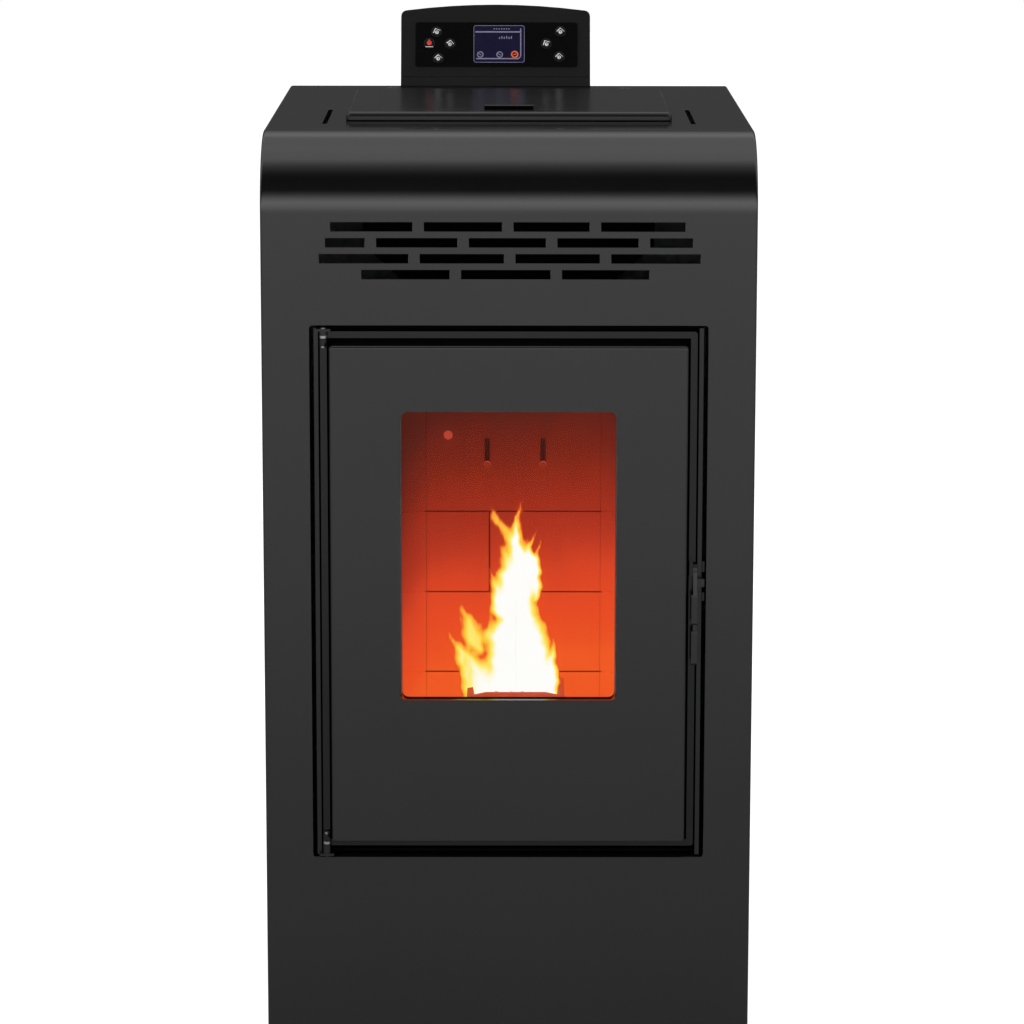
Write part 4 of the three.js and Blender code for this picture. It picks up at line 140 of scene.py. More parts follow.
class Tree:
    """A node tree. Every node comes from its node method."""

    def __init__(self, tree):
        self.tree = tree

    def node(self, kind, settings=None, sockets=None):
        made = self.tree.nodes.new(kind)
        for name, value in (settings or {}).items():
            if name == "stops":
                self.set_stops(made.color_ramp, value)
            else:
                setattr(made, name, value)
        for key, value in (sockets or {}).items():
            self.feed(self.pick(made.inputs, key), value)
        return made

    @staticmethod
    def set_stops(ramp, stops):
        while len(ramp.elements) < len(stops):
            ramp.elements.new(1)
        for element, (place, colour) in zip(ramp.elements, stops):
            element.position = place
            element.color = (*colour, 1)

    @staticmethod
    def pick(sockets, key):
        """A socket by its number, or the first one in use that has the name."""
        if isinstance(key, int):
            return sockets[key]
        return next(socket for socket in sockets if socket.enabled and socket.name == key)

    def feed(self, socket, value):
        if isinstance(value, Amount):
            value = value.socket
        if isinstance(value, bpy.types.Node):
            value = next(output for output in value.outputs if output.enabled)
        if isinstance(value, bpy.types.NodeSocket):
            self.tree.links.new(value, socket)
        elif socket.type == "RGBA":
            socket.default_value = (*value, 1)
        else:
            socket.default_value = value

    def amount(self, kind, settings=None, sockets=None, output=0):
        made = self.node(kind, settings, sockets)
        return Amount(self, self.pick(made.outputs, output))

    def math(self, operation, *operands):
        return self.amount("ShaderNodeMath", {"operation": operation}, dict(enumerate(operands)))

    def vector(self, operation, first, second):
        """Vector Math on two vectors, or on a vector and the number that scales it."""
        key = "Scale" if operation == "SCALE" else 1
        return self.node("ShaderNodeVectorMath", {"operation": operation},
                         {0: first, key: second}).outputs[0]

    def split(self, vector):
        """A vector's three numbers."""
        parts = self.node("ShaderNodeSeparateXYZ", {}, {"Vector": vector})
        return [Amount(self, output) for output in parts.outputs]


class Finish(Tree):
    """A material with one Principled surface, patterned on Object coordinates."""

    def __init__(self, name, **constants):
        self.material = bpy.data.materials.new(name)
        super().__init__(cleared(self.material))
        self.surface = self.node("ShaderNodeBsdfPrincipled")
        self.output = self.node("ShaderNodeOutputMaterial", {}, {"Surface": self.surface})
        self.place = self.node("ShaderNodeTexCoord").outputs["Object"]
        for socket, value in constants.items():
            self.set(socket.replace("_", " ").title().replace("Ior", "IOR"), value)

    def set(self, socket, value):
        self.feed(self.surface.inputs[socket], value)

    def axes(self):
        return self.split(self.place)

    def noise(self, size, detail=2.0, along=(1, 1, 1)):
        """Soft noise from 0 to 1, whose blotches are about size metres wide, divided by a number
        along each axis."""
        place = self.vector("MULTIPLY", self.place, along)
        return self.amount("ShaderNodeTexNoise", {},
                           {"Vector": place, "Scale": 1 / size, "Detail": detail}, "Fac")

    def cells(self, size, feature="F1", output="Distance"):
        return self.amount("ShaderNodeTexVoronoi", {"feature": feature},
                           {"Vector": self.place, "Scale": 1 / size}, output)

    def blend(self, factor, first, second):
        return self.node("ShaderNodeMix", {"data_type": "RGBA"},
                         {"Factor": factor, "A": first, "B": second}).outputs[2]

    def tint(self, factor, colour, low, high):
        """Sets the base colour, from low to high times a colour."""
        self.set("Base Color", self.blend(factor, [c * low for c in colour],
                                          [c * high for c in colour]))

    def overlay(self, factor, colour, roughness, shine):
        """Lays a duller surface over the first one, as far as the factor says."""
        dull = self.node("ShaderNodeBsdfPrincipled", {},
                         {"Base Color": colour, "Roughness": roughness,
                          "Specular IOR Level": shine})
        mixed = self.node("ShaderNodeMixShader", {}, {0: factor, 1: self.surface, 2: dull})
        self.feed(self.output.inputs["Surface"], mixed)

    def ramp(self, factor, *stops):
        return self.node("ShaderNodeValToRGB", {"stops": stops}, {"Fac": factor}).outputs["Color"]

    def bump(self, height, distance, strength=1.0):
        self.set("Normal", self.node("ShaderNodeBump", {},
                                     {"Height": height, "Distance": distance,
                                      "Strength": strength}).outputs[0])


# ------------------------------------------------------------------ finishes

def enamelled(name, colour, gloss, shine=1.0, cloud_size=0.09, dust=0.03):
    """The Finish of baked black enamel: fine orange peel, and a faint cloudiness in colour and
    gloss. dust is how far fine dust changes the gloss."""
    finish = Finish(name, specular_ior_level=shine)
    cloud = finish.noise(cloud_size, 4.0)
    finish.tint(cloud, colour, 0.8, 1.25)
    film = (finish.noise(0.0012, 1.0) - 0.5) * dust
    finish.set("Roughness", gloss + (cloud - 0.5) * 0.05 + film)
    finish.bump(finish.noise(0.0016, 2.0), 0.00003, 0.35)
    return finish


def enamel(name, colour, gloss):
    """Black enamel that is the same all over."""
    return enamelled(name, colour, gloss).material


def lid_enamel(name, colour, gloss, rim_gloss, depth):
    """Black enamel on the lid, duller on its rolled rim."""
    finish = enamelled(name, colour, gloss)
    below = (LID_TOP - finish.axes()[2]).step(depth, depth * 2)
    finish.overlay(below * 0.75, colour, rim_gloss, 0.4)
    return finish.material


def enamel_with_painted_gap_shade(name, colour, gloss, shine, depth):
    """Black enamel on the door's frame and surround, with painted shade in the gaps behind their front:
    near black and matt there.
    """
    finish = enamelled(name, colour, gloss, shine, cloud_size=0.05, dust=0)
    # Painted shade: deeper than depth behind the cabinet's front, the enamel turns near black and matt.
    behind = (finish.axes()[1] - FRONT).step(depth, depth + 1.5 * MM)
    finish.overlay(behind, (0.003, 0.003, 0.003), 0.9, 0.05)
    return finish.material


def zinc_plate(name):
    """Zinc-coated sheet with its spangle."""
    finish = Finish(name, metallic=1.0)
    spangle = finish.cells(1 / 90, output="Color")
    grain = finish.noise(0.02, 5.0)
    finish.set("Base Color", finish.blend(spangle, (0.30, 0.31, 0.32), (0.46, 0.47, 0.48)))
    finish.set("Roughness", 0.36 + spangle * 0.14 + (grain - 0.5) * 0.1)
    finish.bump(finish.noise(0.004, 3.0), 0.00005, 0.3)
    return finish.material


def turned_steel(name):
    """Bright turned steel, with fine tool marks round its length."""
    finish = Finish(name, metallic=1.0)
    marks = finish.noise(0.0008, 2.0, (0.2, 0.2, 3))
    finish.set("Base Color", finish.blend(marks, (0.42, 0.42, 0.43), (0.62, 0.62, 0.62)))
    finish.set("Roughness", 0.24 + marks * 0.12)
    finish.bump(marks, 0.00003, 0.4)
    return finish.material


def sooty_plate(name, colour):
    """Heat-proof matt black plate with a film of ash and soot."""
    finish = Finish(name)
    soot = finish.noise(0.05, 6.0)
    speck = finish.noise(0.0015, 3.0)
    finish.set("Base Color", finish.blend(soot, colour, [c * 2.2 + 0.004 for c in colour]))
    finish.set("Roughness", 0.62 + (speck - 0.5) * 0.25)
    finish.bump(speck, 0.00012, 0.5)
    return finish.material


def cast_iron(name):
    """Sand-cast iron, brown where the fire has scaled it."""
    finish = Finish(name, metallic=0.55)
    scale = finish.noise(0.012, 6.0)
    sand = finish.noise(0.0013, 4.0)
    finish.set("Base Color", finish.ramp(scale, (0.3, (0.035, 0.027, 0.022)),
                                         (0.55, (0.075, 0.045, 0.03)), (0.8, (0.14, 0.07, 0.04))))
    finish.set("Roughness", 0.6 + sand * 0.25)
    finish.bump(sand, 0.0003, 0.7)
    return finish.material


def fireclay(name):
    """Fireclay tiles with the fire's light painted on them as a glow, dull red above and orange beside
    the flame. Painted shade darkens the grooves and keyholes of the back tiles, and a painted highlight
    lightens their bolt heads and stud."""
    finish = Finish(name, roughness=0.92, specular_ior_level=0.0, emission_strength=1.0)
    x, y, z = finish.axes()
    sand = finish.noise(0.0022, 3.0)
    patch = finish.noise(0.05, 4.0)
    streak = finish.noise(0.016, 3.0, (1, 1, 0.12))
    # Painted firelight: heat here is how far the tiles' painted glow has faded. It fades least low down
    # by the flame and a little less right of the pot, more on the far left tile as painted shade, and
    # is uneven with stains.
    low = WINDOW_LOW.z
    rise = (z - low) / (WINDOW_HIGH.z - low)
    right = (x - POT_MIDDLE.x) * 0.3
    far_left_painted_shade = (-78 * MM - x).clamped(0, 0.06) * 5
    stain_and_uneven_firelight = (patch - 0.5) * 0.06 + (streak - 0.5) * 0.07 + (sand - 0.5) * 0.05
    heat = rise - right.clamped(-0.04, 0.03) + far_left_painted_shade + stain_and_uneven_firelight
    glow = finish.ramp(
        heat.clamped(0, 1), (0.0, (0.865, 0.097, 0.013)), (0.05, (0.83, 0.080, 0.012)),
        (0.137, (0.80, 0.068, 0.012)), (0.225, (0.745, 0.060, 0.012)), (0.31, (0.65, 0.050, 0.012)),
        (0.40, (0.48, 0.0335, 0.0095)), (0.486, (0.376, 0.025, 0.0075)),
        (0.57, (0.312, 0.0205, 0.0062)), (0.64, (0.238, 0.0165, 0.0047)),
        (0.71, (0.179, 0.0128, 0.0042)), (0.81, (0.125, 0.0103, 0.0045)),
        (0.87, (0.085, 0.008, 0.004)), (1.0, (0.07, 0.007, 0.0035)))
    # Painted shade in the back tiles' grooves and keyholes, and a painted highlight on their bolt heads
    # and stud.
    middle = (TILE_WIDTH / 2 - finish.math("ABSOLUTE", x)).step(0, 2 * MM)
    painted_groove_shade = (y - TILE_FACE).step(0.1 * MM, 1.2 * MM)
    fall = TILE_FACE - y
    painted_bolt_highlight = fall.step(0.4 * MM, 1.2 * MM) * (1 - fall.step(3 * MM, 6.5 * MM) * 0.8) * middle
    glow = finish.blend(painted_groove_shade * 0.85, glow, (0.012, 0.002, 0.0015))
    glow = finish.blend(painted_bolt_highlight * 0.45, glow, (0.85, 0.10, 0.05))
    finish.set("Base Color", finish.blend(sand, (0.02, 0.006, 0.003), (0.035, 0.011, 0.006)))
    finish.set("Emission Color", glow)
    finish.bump(sand + patch * 0.5, 0.0004, 0.4)
    return finish.material


def iron_with_painted_firelight(name):
    """The fire pot's cast iron, with the fire's light painted on it as a dull red glow towards its rim.
    """
    finish = Finish(name, roughness=0.85, specular_ior_level=0.2, emission_strength=1.0)
    scale = finish.noise(0.012, 6.0)
    # Painted firelight: a dull red glow over the top 28 mm of the pot, uneven with the scale.
    rim = (finish.axes()[2] - POT_HIGH.z + (scale - 0.5) * 8 * MM).step(-28 * MM, 0)
    finish.set("Base Color", finish.blend(scale, (0.035, 0.027, 0.022), (0.12, 0.06, 0.035)))
    finish.set("Emission Color", finish.blend(rim, (0.02, 0.002, 0.001), (0.52, 0.052, 0.010)))
    finish.bump(scale, 0.0003, 0.7)
    return finish.material


def glass_rope(name):
    """Dark heat-proof glass rope."""
    finish = Finish(name, roughness=0.9, sheen_weight=0.3)
    fibre = finish.noise(0.0009, 3.0)
    finish.set("Base Color", finish.blend(fibre, (0.05, 0.047, 0.042), (0.16, 0.15, 0.135)))
    finish.bump(fibre, 0.0003, 0.8)
    return finish.material


def clear_glass(name):
    """Ceramic glass, clear, with a faint, uneven breath of soot."""
    finish = Finish(name, ior=1.12, transmission_weight=1.0)
    haze = finish.noise(0.03, 4.0)
    finish.set("Base Color", finish.blend(haze, (0.97, 0.96, 0.95), (1.0, 1.0, 1.0)))
    finish.set("Roughness", (haze - 0.5).clamped(0, 0.02))
    return finish.material


def moulded_plastic(name, colour, roughness, grain=0.0007):
    """Moulded plastic with a spark-eroded grain."""
    finish = Finish(name, specular_ior_level=0.7)
    texture = finish.noise(grain, 2.0)
    cloud = finish.noise(0.04, 3.0)
    finish.tint(cloud, colour, 0.85, 1.15)
    finish.set("Roughness", roughness + (texture - 0.5) * 0.1)
    finish.bump(texture, 0.00005, 0.5)
    return finish.material


def gloss_plate(name, colour, roughness):
    """Gloss acrylic with a trace of fine dust and wiping marks."""
    finish = Finish(name, specular_ior_level=0.35)
    wipe = finish.noise(0.012, 4.0, (1, 1, 4))
    finish.tint(wipe, colour, 1, 1.3)
    finish.set("Roughness", roughness + wipe * 0.06)
    return finish.material


def lit_screen(name):
    """The display: a dark blue field, a little uneven, with its pixel rows."""
    finish = Finish(name, roughness=0.12, specular_ior_level=0.3, emission_strength=1.0)
    field = finish.noise(0.012, 2.0)
    rows = finish.noise(0.0007, 0.0, (0.25, 1, 4))
    finish.set("Base Color", finish.blend(field, (0.004, 0.004, 0.012), (0.006, 0.006, 0.018)))
    finish.set("Emission Color", finish.blend(field * 0.6 + rows * 0.4, (0.003, 0.0025, 0.008),
                                              (0.007, 0.006, 0.020)))
    return finish.material


def glowing_ink(name, colour, shade):
    """Marks on the panel that glow, each a little uneven: on the display as its lit segments, on the
    keys as painted light on their print.
    """
    finish = Finish(name, roughness=0.5, emission_strength=1.0)
    speckle = finish.noise(0.0011, 2.0)
    finish.tint(speckle, shade, 0.5, 1)
    finish.set("Emission Color", finish.blend(speckle.step(0.3, 0.7), shade, colour))
    return finish.material


def circuit_board(name):
    """Green solder mask over tracks."""
    finish = Finish(name, roughness=0.4)
    tracks = finish.cells(0.004, "DISTANCE_TO_EDGE")
    finish.set("Base Color", finish.blend(tracks.step(0.05, 0.09), (0.02, 0.13, 0.05),
                                          (0.012, 0.075, 0.03)))
    finish.bump(tracks.step(0.05, 0.09), 0.00004, 0.5)
    return finish.material


def flame_light(name):
    """Flame: its colour and thinness follow the heat that its mesh carries."""
    finish = Finish(name, roughness=1.0, specular_ior_level=0.0, emission_strength=1.0)
    heat = finish.amount("ShaderNodeAttribute", {"attribute_name": "flame_heat"}, {}, "Fac")
    wisp = finish.noise(0.009, 4.0, (1.6, 1.6, 0.45))
    hot = heat + (wisp - 0.5) * 0.5 * (1.1 - heat)
    finish.set("Base Color", (0, 0, 0))
    finish.set("Emission Color", finish.ramp(
        hot.clamped(0, 1), (0.0, (0.80, 0.06, 0.012)), (0.10, (0.92, 0.14, 0.018)),
        (0.22, (0.97, 0.36, 0.032)), (0.38, (1.0, 0.66, 0.055)), (0.54, (1.0, 0.84, 0.18)),
        (0.70, (1.0, 0.97, 0.70)), (0.82, (1.0, 1.0, 0.98))))
    finish.set("Alpha", hot.step(0.0, 0.24))
    return finish.material


def embers(name):
    """Glowing pellets under the flame, with ash on them."""
    finish = Finish(name, roughness=0.95, emission_strength=1.0)
    ash = finish.noise(0.004, 4.0)
    finish.set("Base Color", finish.blend(ash, (0.03, 0.02, 0.015), (0.25, 0.2, 0.16)))
    finish.set("Emission Color", finish.ramp(ash, (0.35, (1.0, 0.45, 0.1)), (0.5, (0.9, 0.14, 0.02)),
                                             (0.68, (0.12, 0.012, 0.004))))
    finish.bump(ash, 0.0008, 0.8)
    return finish.material


BLACK = (0.0036, 0.0035, 0.0034)
# A darker copy of the black enamel, used with less shine for the door's frame and surround: painted
# shade for their place in the recess.
SHADED_BLACK = [c * 0.6 for c in BLACK]
finishes = {
    "paint": enamel("black_enamel", BLACK, 0.105),
    "door_paint": enamel("black_enamel_door", BLACK, 0.105),
    "burn_pot": iron_with_painted_firelight("glowing_cast_iron"),
    "hopper_lid": lid_enamel("black_enamel_lid", BLACK, 0.22, 0.4, 0.6 * MM),
    "frame_steel": enamel_with_painted_gap_shade("black_enamel_frame", SHADED_BLACK, 0.14, 0.6, 6 * MM),
    "front_plate": enamel_with_painted_gap_shade("black_enamel_surround", SHADED_BLACK, 0.3, 0.7, 5 * MM),
    "inner_steel": sooty_plate("soot_black_plate", (0.010, 0.009, 0.008)),
    "zinc_steel": zinc_plate("zinc_coated_sheet"),
    "bright_steel": turned_steel("turned_steel"),
    "cast_iron": cast_iron("scaled_cast_iron"),
    "refractory": fireclay("glowing_fireclay"),
    "rope": glass_rope("glass_rope"),
    "glass": clear_glass("ceramic_glass"),
    "moulded": moulded_plastic("black_moulding", (0.005, 0.005, 0.0053), 0.34),
    "handle_lever": moulded_plastic("lever_moulding", (0.006, 0.006, 0.0062), 0.3),
    "fascia": gloss_plate("gloss_fascia", (0.0022, 0.0022, 0.0024), 0.16),
    "screen": lit_screen("display_field"),
    "key_cap": moulded_plastic("key_moulding", (0.0035, 0.0035, 0.0038), 0.3),
    "power_cap": moulded_plastic("red_moulding", (0.42, 0.02, 0.012), 0.35),
    "circuit": circuit_board("solder_mask"),
    "rubber": moulded_plastic("rubber", (0.012, 0.012, 0.012), 0.8, 0.0012),
}


# ------------------------------------------------------------------ meshes

BEVEL_CORNER = math.radians(32)  # edges sharper than this are rounded
SHARP_CORNER = math.radians(40)  # and these aren't shaded smooth


def new_object(name, data):
    """An object in the scene."""
    thing = bpy.data.objects.new(name, data)
    bpy.context.scene.collection.objects.link(thing)
    return thing


def add_piece(name, mesh, finish, body):
    piece = new_object(name, mesh)
    mesh.materials.clear()
    mesh.materials.append(finish)
    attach(piece, body)
    return piece


def settled(thing):
    """The mesh that an object's modifiers make."""
    graph = bpy.context.evaluated_depsgraph_get()
    mesh = bpy.data.meshes.new_from_object(thing.evaluated_get(graph))
    bpy.data.objects.remove(thing)
    return mesh


def rounded(name, mesh, edge):
    """The mesh with its corners rounded and smooth shading over its curves."""
    draft = new_object(name + "_draft", mesh)
    for polygon in mesh.polygons:
        polygon.use_smooth = True
    if edge:
        bevel = draft.modifiers.new("edges", "BEVEL")
        bevel.width = edge
        bevel.segments = 2
        bevel.limit_method = "ANGLE"
        bevel.angle_limit = BEVEL_CORNER
        bevel.harden_normals = False
    weigh = draft.modifiers.new("shading", "WEIGHTED_NORMAL")
    weigh.keep_sharp = True
    weigh.weight = 80
    mesh.set_sharp_from_angle(angle=SHARP_CORNER)
    made = settled(draft)
    made.name = name
    return made


def surface_area(mesh):
    mesh.calc_loop_triangles()
    return sum(triangle.area for triangle in mesh.loop_triangles)


def copied(node, whole_faces):
    """A merged copy of a CAD node's mesh, with its flat faces made whole again if that is asked."""
    mesh = frame["nodes"][node].data.copy()
    work = bmesh.new()
    work.from_mesh(mesh)
    bmesh.ops.remove_doubles(work, verts=work.verts, dist=1e-6)
    if whole_faces:
        bmesh.ops.dissolve_limit(work, angle_limit=math.radians(0.4), verts=work.verts,
                                 edges=work.edges, delimit=set())
    work.to_mesh(mesh)
    work.free()
    for name in ("custom_normal", "sharp_face", "sharp_edge"):
        if name in mesh.attributes:
            mesh.attributes.remove(mesh.attributes[name])
    return mesh


def dress(node, slot, edge):
    """The CAD node with rounded edges and its finish."""
    name = node + "_finished"
    body = frame["nodes"][node]["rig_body"]
    area = surface_area(frame["nodes"][node].data)
    mesh = rounded(name, copied(node, True), edge * MM)
    # A whole face round an opening can come out filled; its triangles are then kept as they are.
    if surface_area(mesh) > 1.002 * area:
        mesh = rounded(name, copied(node, False), edge * MM)
    piece = add_piece(name, mesh, finishes.get(node, finishes[slot]), body)
    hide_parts(node)
    return piece


# Each node's slot in the record, and the radius in millimetres that its edges are broken to
DRESSED = {
    "paint": {"front_panel": 0.5, "top_plate": 0.5, "side_panel_left": 0.5, "side_panel_right": 0.5,
              "hopper_lid": 0.5, "lid_pull": 0.5},
    "door_paint": {"door_cover": 0.4},
    "frame_steel": {"door_frame": 0.8, "latch_keeper": 0.5},
    "inner_steel": {"hopper": 0.3, "front_plate": 0.6, "firebox_body": 0.5, "air_box": 0.4,
                    "ash_drawer": 0.4, "auger_tube": 0.4, "room_fan_motor": 0.8},
    "zinc_steel": {"back_panel": 0.4, "base_plate": 0.4, "hopper_grate": 0.6, "igniter": 0.5,
                   "air_intake_pipe": 0.4, "auger_screw": 0.4, "auger_motor": 0.8,
                   "exhaust_impeller": 0.3, "exhaust_motor": 0.8, "flue_outlet": 0.4,
                   "room_fan_housing": 0.4, "room_fan_rotor": 0.2},
    "bright_steel": {"hinge_pin_top": 0.35, "hinge_pin_bottom": 0.35},
    "cast_iron": {"burn_pot": 1.2, "exhaust_fan_housing": 0.6},
    "refractory": {"lining_back": 0.5, "lining_left": 0.5, "lining_right": 0.5, "baffle": 1.0},
    "glass": {"door_glass": 0.4},
    "moulded": {"lid_hinge_left": 0.3, "lid_hinge_right": 0.3, "handle_lever": 0.7,
                "control_housing": 0.6, "power_inlet": 0.5},
    "fascia": {"control_fascia": 0.25},
    "screen": {"display_window": 0.3},
    "key_cap": {"key_left_top": 0.4, "key_power": 0.4, "key_left_inner": 0.4, "key_left_bottom": 0.4,
                "key_right_top": 0.4, "key_right_inner": 0.4, "key_right_bottom": 0.4},
    "power_cap": {"power_switch": 0.4},
    "circuit": {"control_board": 0.2, "main_board": 0.3},
    "rubber": {"lid_seal": 0.6, "foot_front_left": 0.6, "foot_front_right": 0.6, "foot_rear_left": 0.6,
               "foot_rear_right": 0.6},
}


def dress_nodes():
    for slot, nodes in DRESSED.items():
        for node, edge in nodes.items():
            dress(node, slot, edge)


# ------------------------------------------------------------------ repeated pieces

class Grower(Tree):
    """A geometry tree with named inputs. grown() runs it on a mesh and gives the mesh it makes."""

    def __init__(self, name, **inputs):
        super().__init__(bpy.data.node_groups.new(name, "GeometryNodeTree"))
        self.name = name
        self.keys = {}
        self.tree.interface.new_socket("Start", in_out="INPUT", socket_type="NodeSocketGeometry")
        for key, kind in inputs.items():
            made = self.tree.interface.new_socket(key, in_out="INPUT", socket_type="NodeSocket" + kind)
            self.keys[key] = made.identifier
        self.tree.interface.new_socket("Result", in_out="OUTPUT", socket_type="NodeSocketGeometry")
        self.inputs = self.node("NodeGroupInput").outputs

    def end(self, geometry):
        real = self.node("GeometryNodeRealizeInstances", {}, {"Geometry": geometry})
        coated = self.node("GeometryNodeSetMaterial", {},
                           {"Geometry": real, "Material": self.inputs["Finish"]})
        self.node("NodeGroupOutput", {}, {"Result": coated})

    def grown(self, start, values):
        thing = new_object(self.name, start)
        modifier = thing.modifiers.new(self.name, "NODES")
        modifier.node_group = self.tree
        for key, value in values.items():
            modifier[self.keys[key]] = value
        return settled(thing)


def arc(x, z, radius, start, end, steps):
    """Points on a circle, from one angle in degrees to another."""
    angles = [math.radians(start + (end - start) * k / steps) for k in range(steps + 1)]
    return [(x + radius * math.cos(angle), z + radius * math.sin(angle)) for angle in angles]


def circle(x, z, radius, sides, start=0):
    return arc(x, z, radius, start, start + 360, sides)[:-1]


def band(work, low, high):
    """Faces between two rings of as many vertices."""
    for k in range(len(low)):
        work.faces.new((low[k - 1], low[k], high[k], high[k - 1]))


def mesh_of(work, name, smooth_deg=0):
    """The bmesh as a mesh that faces outward, smooth where its faces meet at less than an angle."""
    bmesh.ops.recalc_face_normals(work, faces=work.faces)
    for face in work.faces:
        face.smooth = smooth_deg > 0
    mesh = bpy.data.meshes.new(name)
    work.to_mesh(mesh)
    work.free()
    if 0 < smooth_deg < 180:
        mesh.set_sharp_from_angle(angle=math.radians(smooth_deg))
    return mesh


def turned(profile, sides):
    """A closed body of revolution about Z from (radius, height) points that start and end on it."""
    work = bmesh.new()
    rings = [[work.verts.new((x, y, height))
              for x, y in circle(0, 0, radius, sides if radius else 1)]
             for radius, height in profile]
    for low, high in zip(rings, rings[1:]):
        for k in range(sides):
            near = [low[k % len(low)], low[(k + 1) % len(low)]]
            far = [high[(k + 1) % len(high)], high[k % len(high)]]
            work.faces.new(list(dict.fromkeys(near + far)))
    return mesh_of(work, "turned", 35)


def pan_head(radius, height, slot_width):
    """A screw's pan head, standing on z = 0, with a cross recess."""
    work = bmesh.new()
    reach = radius * 0.55
    half = slot_width / 2
    levels = [(radius, 0), (radius, height * 0.35), (radius * 0.88, height * 0.8),
              (radius * 0.68, height)]
    rings = [[work.verts.new((x, y, z)) for x, y in circle(0, 0, r, 16)] for r, z in levels]
    for low, high in zip(rings, rings[1:]):
        band(work, low, high)
    work.faces.new(rings[0])
    cross = [(half, half), (reach, half), (reach, -half), (half, -half), (half, -reach),
             (-half, -reach), (-half, -half), (-reach, -half), (-reach, half), (-half, half),
             (-half, reach), (half, reach)]
    mouth = [work.verts.new((x, y, height)) for x, y in cross]
    floor = [work.verts.new((x, y, height * 0.3)) for x, y in cross]
    band(work, floor, mouth)
    work.faces.new(floor)
    edges = [work.edges.get((rim[k - 1], rim[k]))
             for rim in (rings[-1], mouth) for k in range(len(rim))]
    bmesh.ops.triangle_fill(work, edges=edges, use_beauty=True)
    return mesh_of(work, "pan_head")


def screw_tree():
    """Screws set at the vertices of the start mesh, all turned one way."""
    grower = Grower("screws", Screw="Object", Turn="Vector", Finish="Material")
    head = grower.node("GeometryNodeObjectInfo", {}, {"Object": grower.inputs["Screw"]})
    spun = grower.node("FunctionNodeRandomValue", {"data_type": "FLOAT"},
                       {"Min": 0.0, "Max": math.pi, "Seed": 4}).outputs[1]
    placed = grower.node("GeometryNodeInstanceOnPoints", {},
                         {"Points": grower.inputs["Start"], "Instance": head.outputs["Geometry"],
                          "Rotation": grower.inputs["Turn"]})
    rolled = grower.node("GeometryNodeRotateInstances", {},
                         {"Instances": placed,
                          "Rotation": grower.node("ShaderNodeCombineXYZ", {}, {"Z": spun})})
    grower.end(rolled)
    return grower


def points_mesh(places):
    mesh = bpy.data.meshes.new("places")
    mesh.from_pydata([tuple(place) for place in places], [], [])
    return mesh


def add_screws():
    grower = screw_tree()
    backward, upward = (-math.pi / 2, 0, 0), (0, 0, 0)
    small = bpy.data.objects.new("small_head", pan_head(3.0 * MM, 1.7 * MM, 0.9 * MM))
    large = bpy.data.objects.new("large_head", pan_head(4.2 * MM, 2.4 * MM, 1.2 * MM))
    inset, gaps = 12 * MM, 5
    low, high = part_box("back_panel")
    bottom, top = low.z + inset, high.z - inset
    levels = [bottom + k * (top - bottom) / gaps for k in range(gaps + 1)]
    back = [(x, BACK, z) for x in (low.x + inset, high.x - inset) for z in levels]
    back += [(x * MM, BACK, z) for x in (-110, 0, 110) for z in (bottom, top)
             if not (z > TOP - 60 * MM and abs(x) < 90)]  # the control panel's foot is there
    ring = [(x, BACK + 1.2 * MM, z) for centre, radius in ((FLUE, 52 * MM), (INTAKE, 29 * MM))
            for x, z in circle(centre.x, centre.z, radius, 4, start=45)]
    low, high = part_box("power_inlet")
    ear = 2.9 * MM
    module = [((low.x + high.x) / 2, high.y, z) for z in (low.z + ear, high.z - ear)]
    hinge_screws = []
    for node in ("lid_hinge_left", "lid_hinge_right"):
        low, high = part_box(node)
        hinge_screws += [(x, high.y - 7 * MM, TOP + 1.6 * MM)
                         for x in (low.x + 8.5 * MM, high.x - 4.5 * MM)]
    finish = finishes["bright_steel"]
    for name, head, places, turn in (
            ("back_panel_screws", large, back, backward),
            ("pipe_collar_screws", small, ring, backward),
            ("inlet_screws", small, module, backward),
            ("lid_hinge_screws", small, hinge_screws, upward)):
        mesh = grower.grown(points_mesh(places), {"Screw": head, "Turn": turn, "Finish": finish})
        add_piece(name, mesh, finish, "cabinet")
    bpy.data.objects.remove(small)
    bpy.data.objects.remove(large)


def collar(name, radius, centre):
    """A pressed ring round a pipe where it leaves the back panel."""
    profile = [(0.4, 0), (15, 0), (15, 0.8), (14.4, 1.2), (7, 1.2), (5, 3.2), (2.4, 4.4), (0.4, 4.4)]
    work = bmesh.new()
    rings = [[work.verts.new((x, BACK + (0.05 + height) * MM, z))
              for x, z in circle(centre.x, centre.z, radius + wider * MM, 72)]
             for wider, height in profile]
    for low, high in zip(rings, rings[1:] + rings[:1]):
        band(work, low, high)
    add_piece(name, mesh_of(work, name, 40), finishes["zinc_steel"], "cabinet")


def add_collars():
    collar("flue_collar", 40 * MM, FLUE)
    collar("intake_collar", 21 * MM, INTAKE)


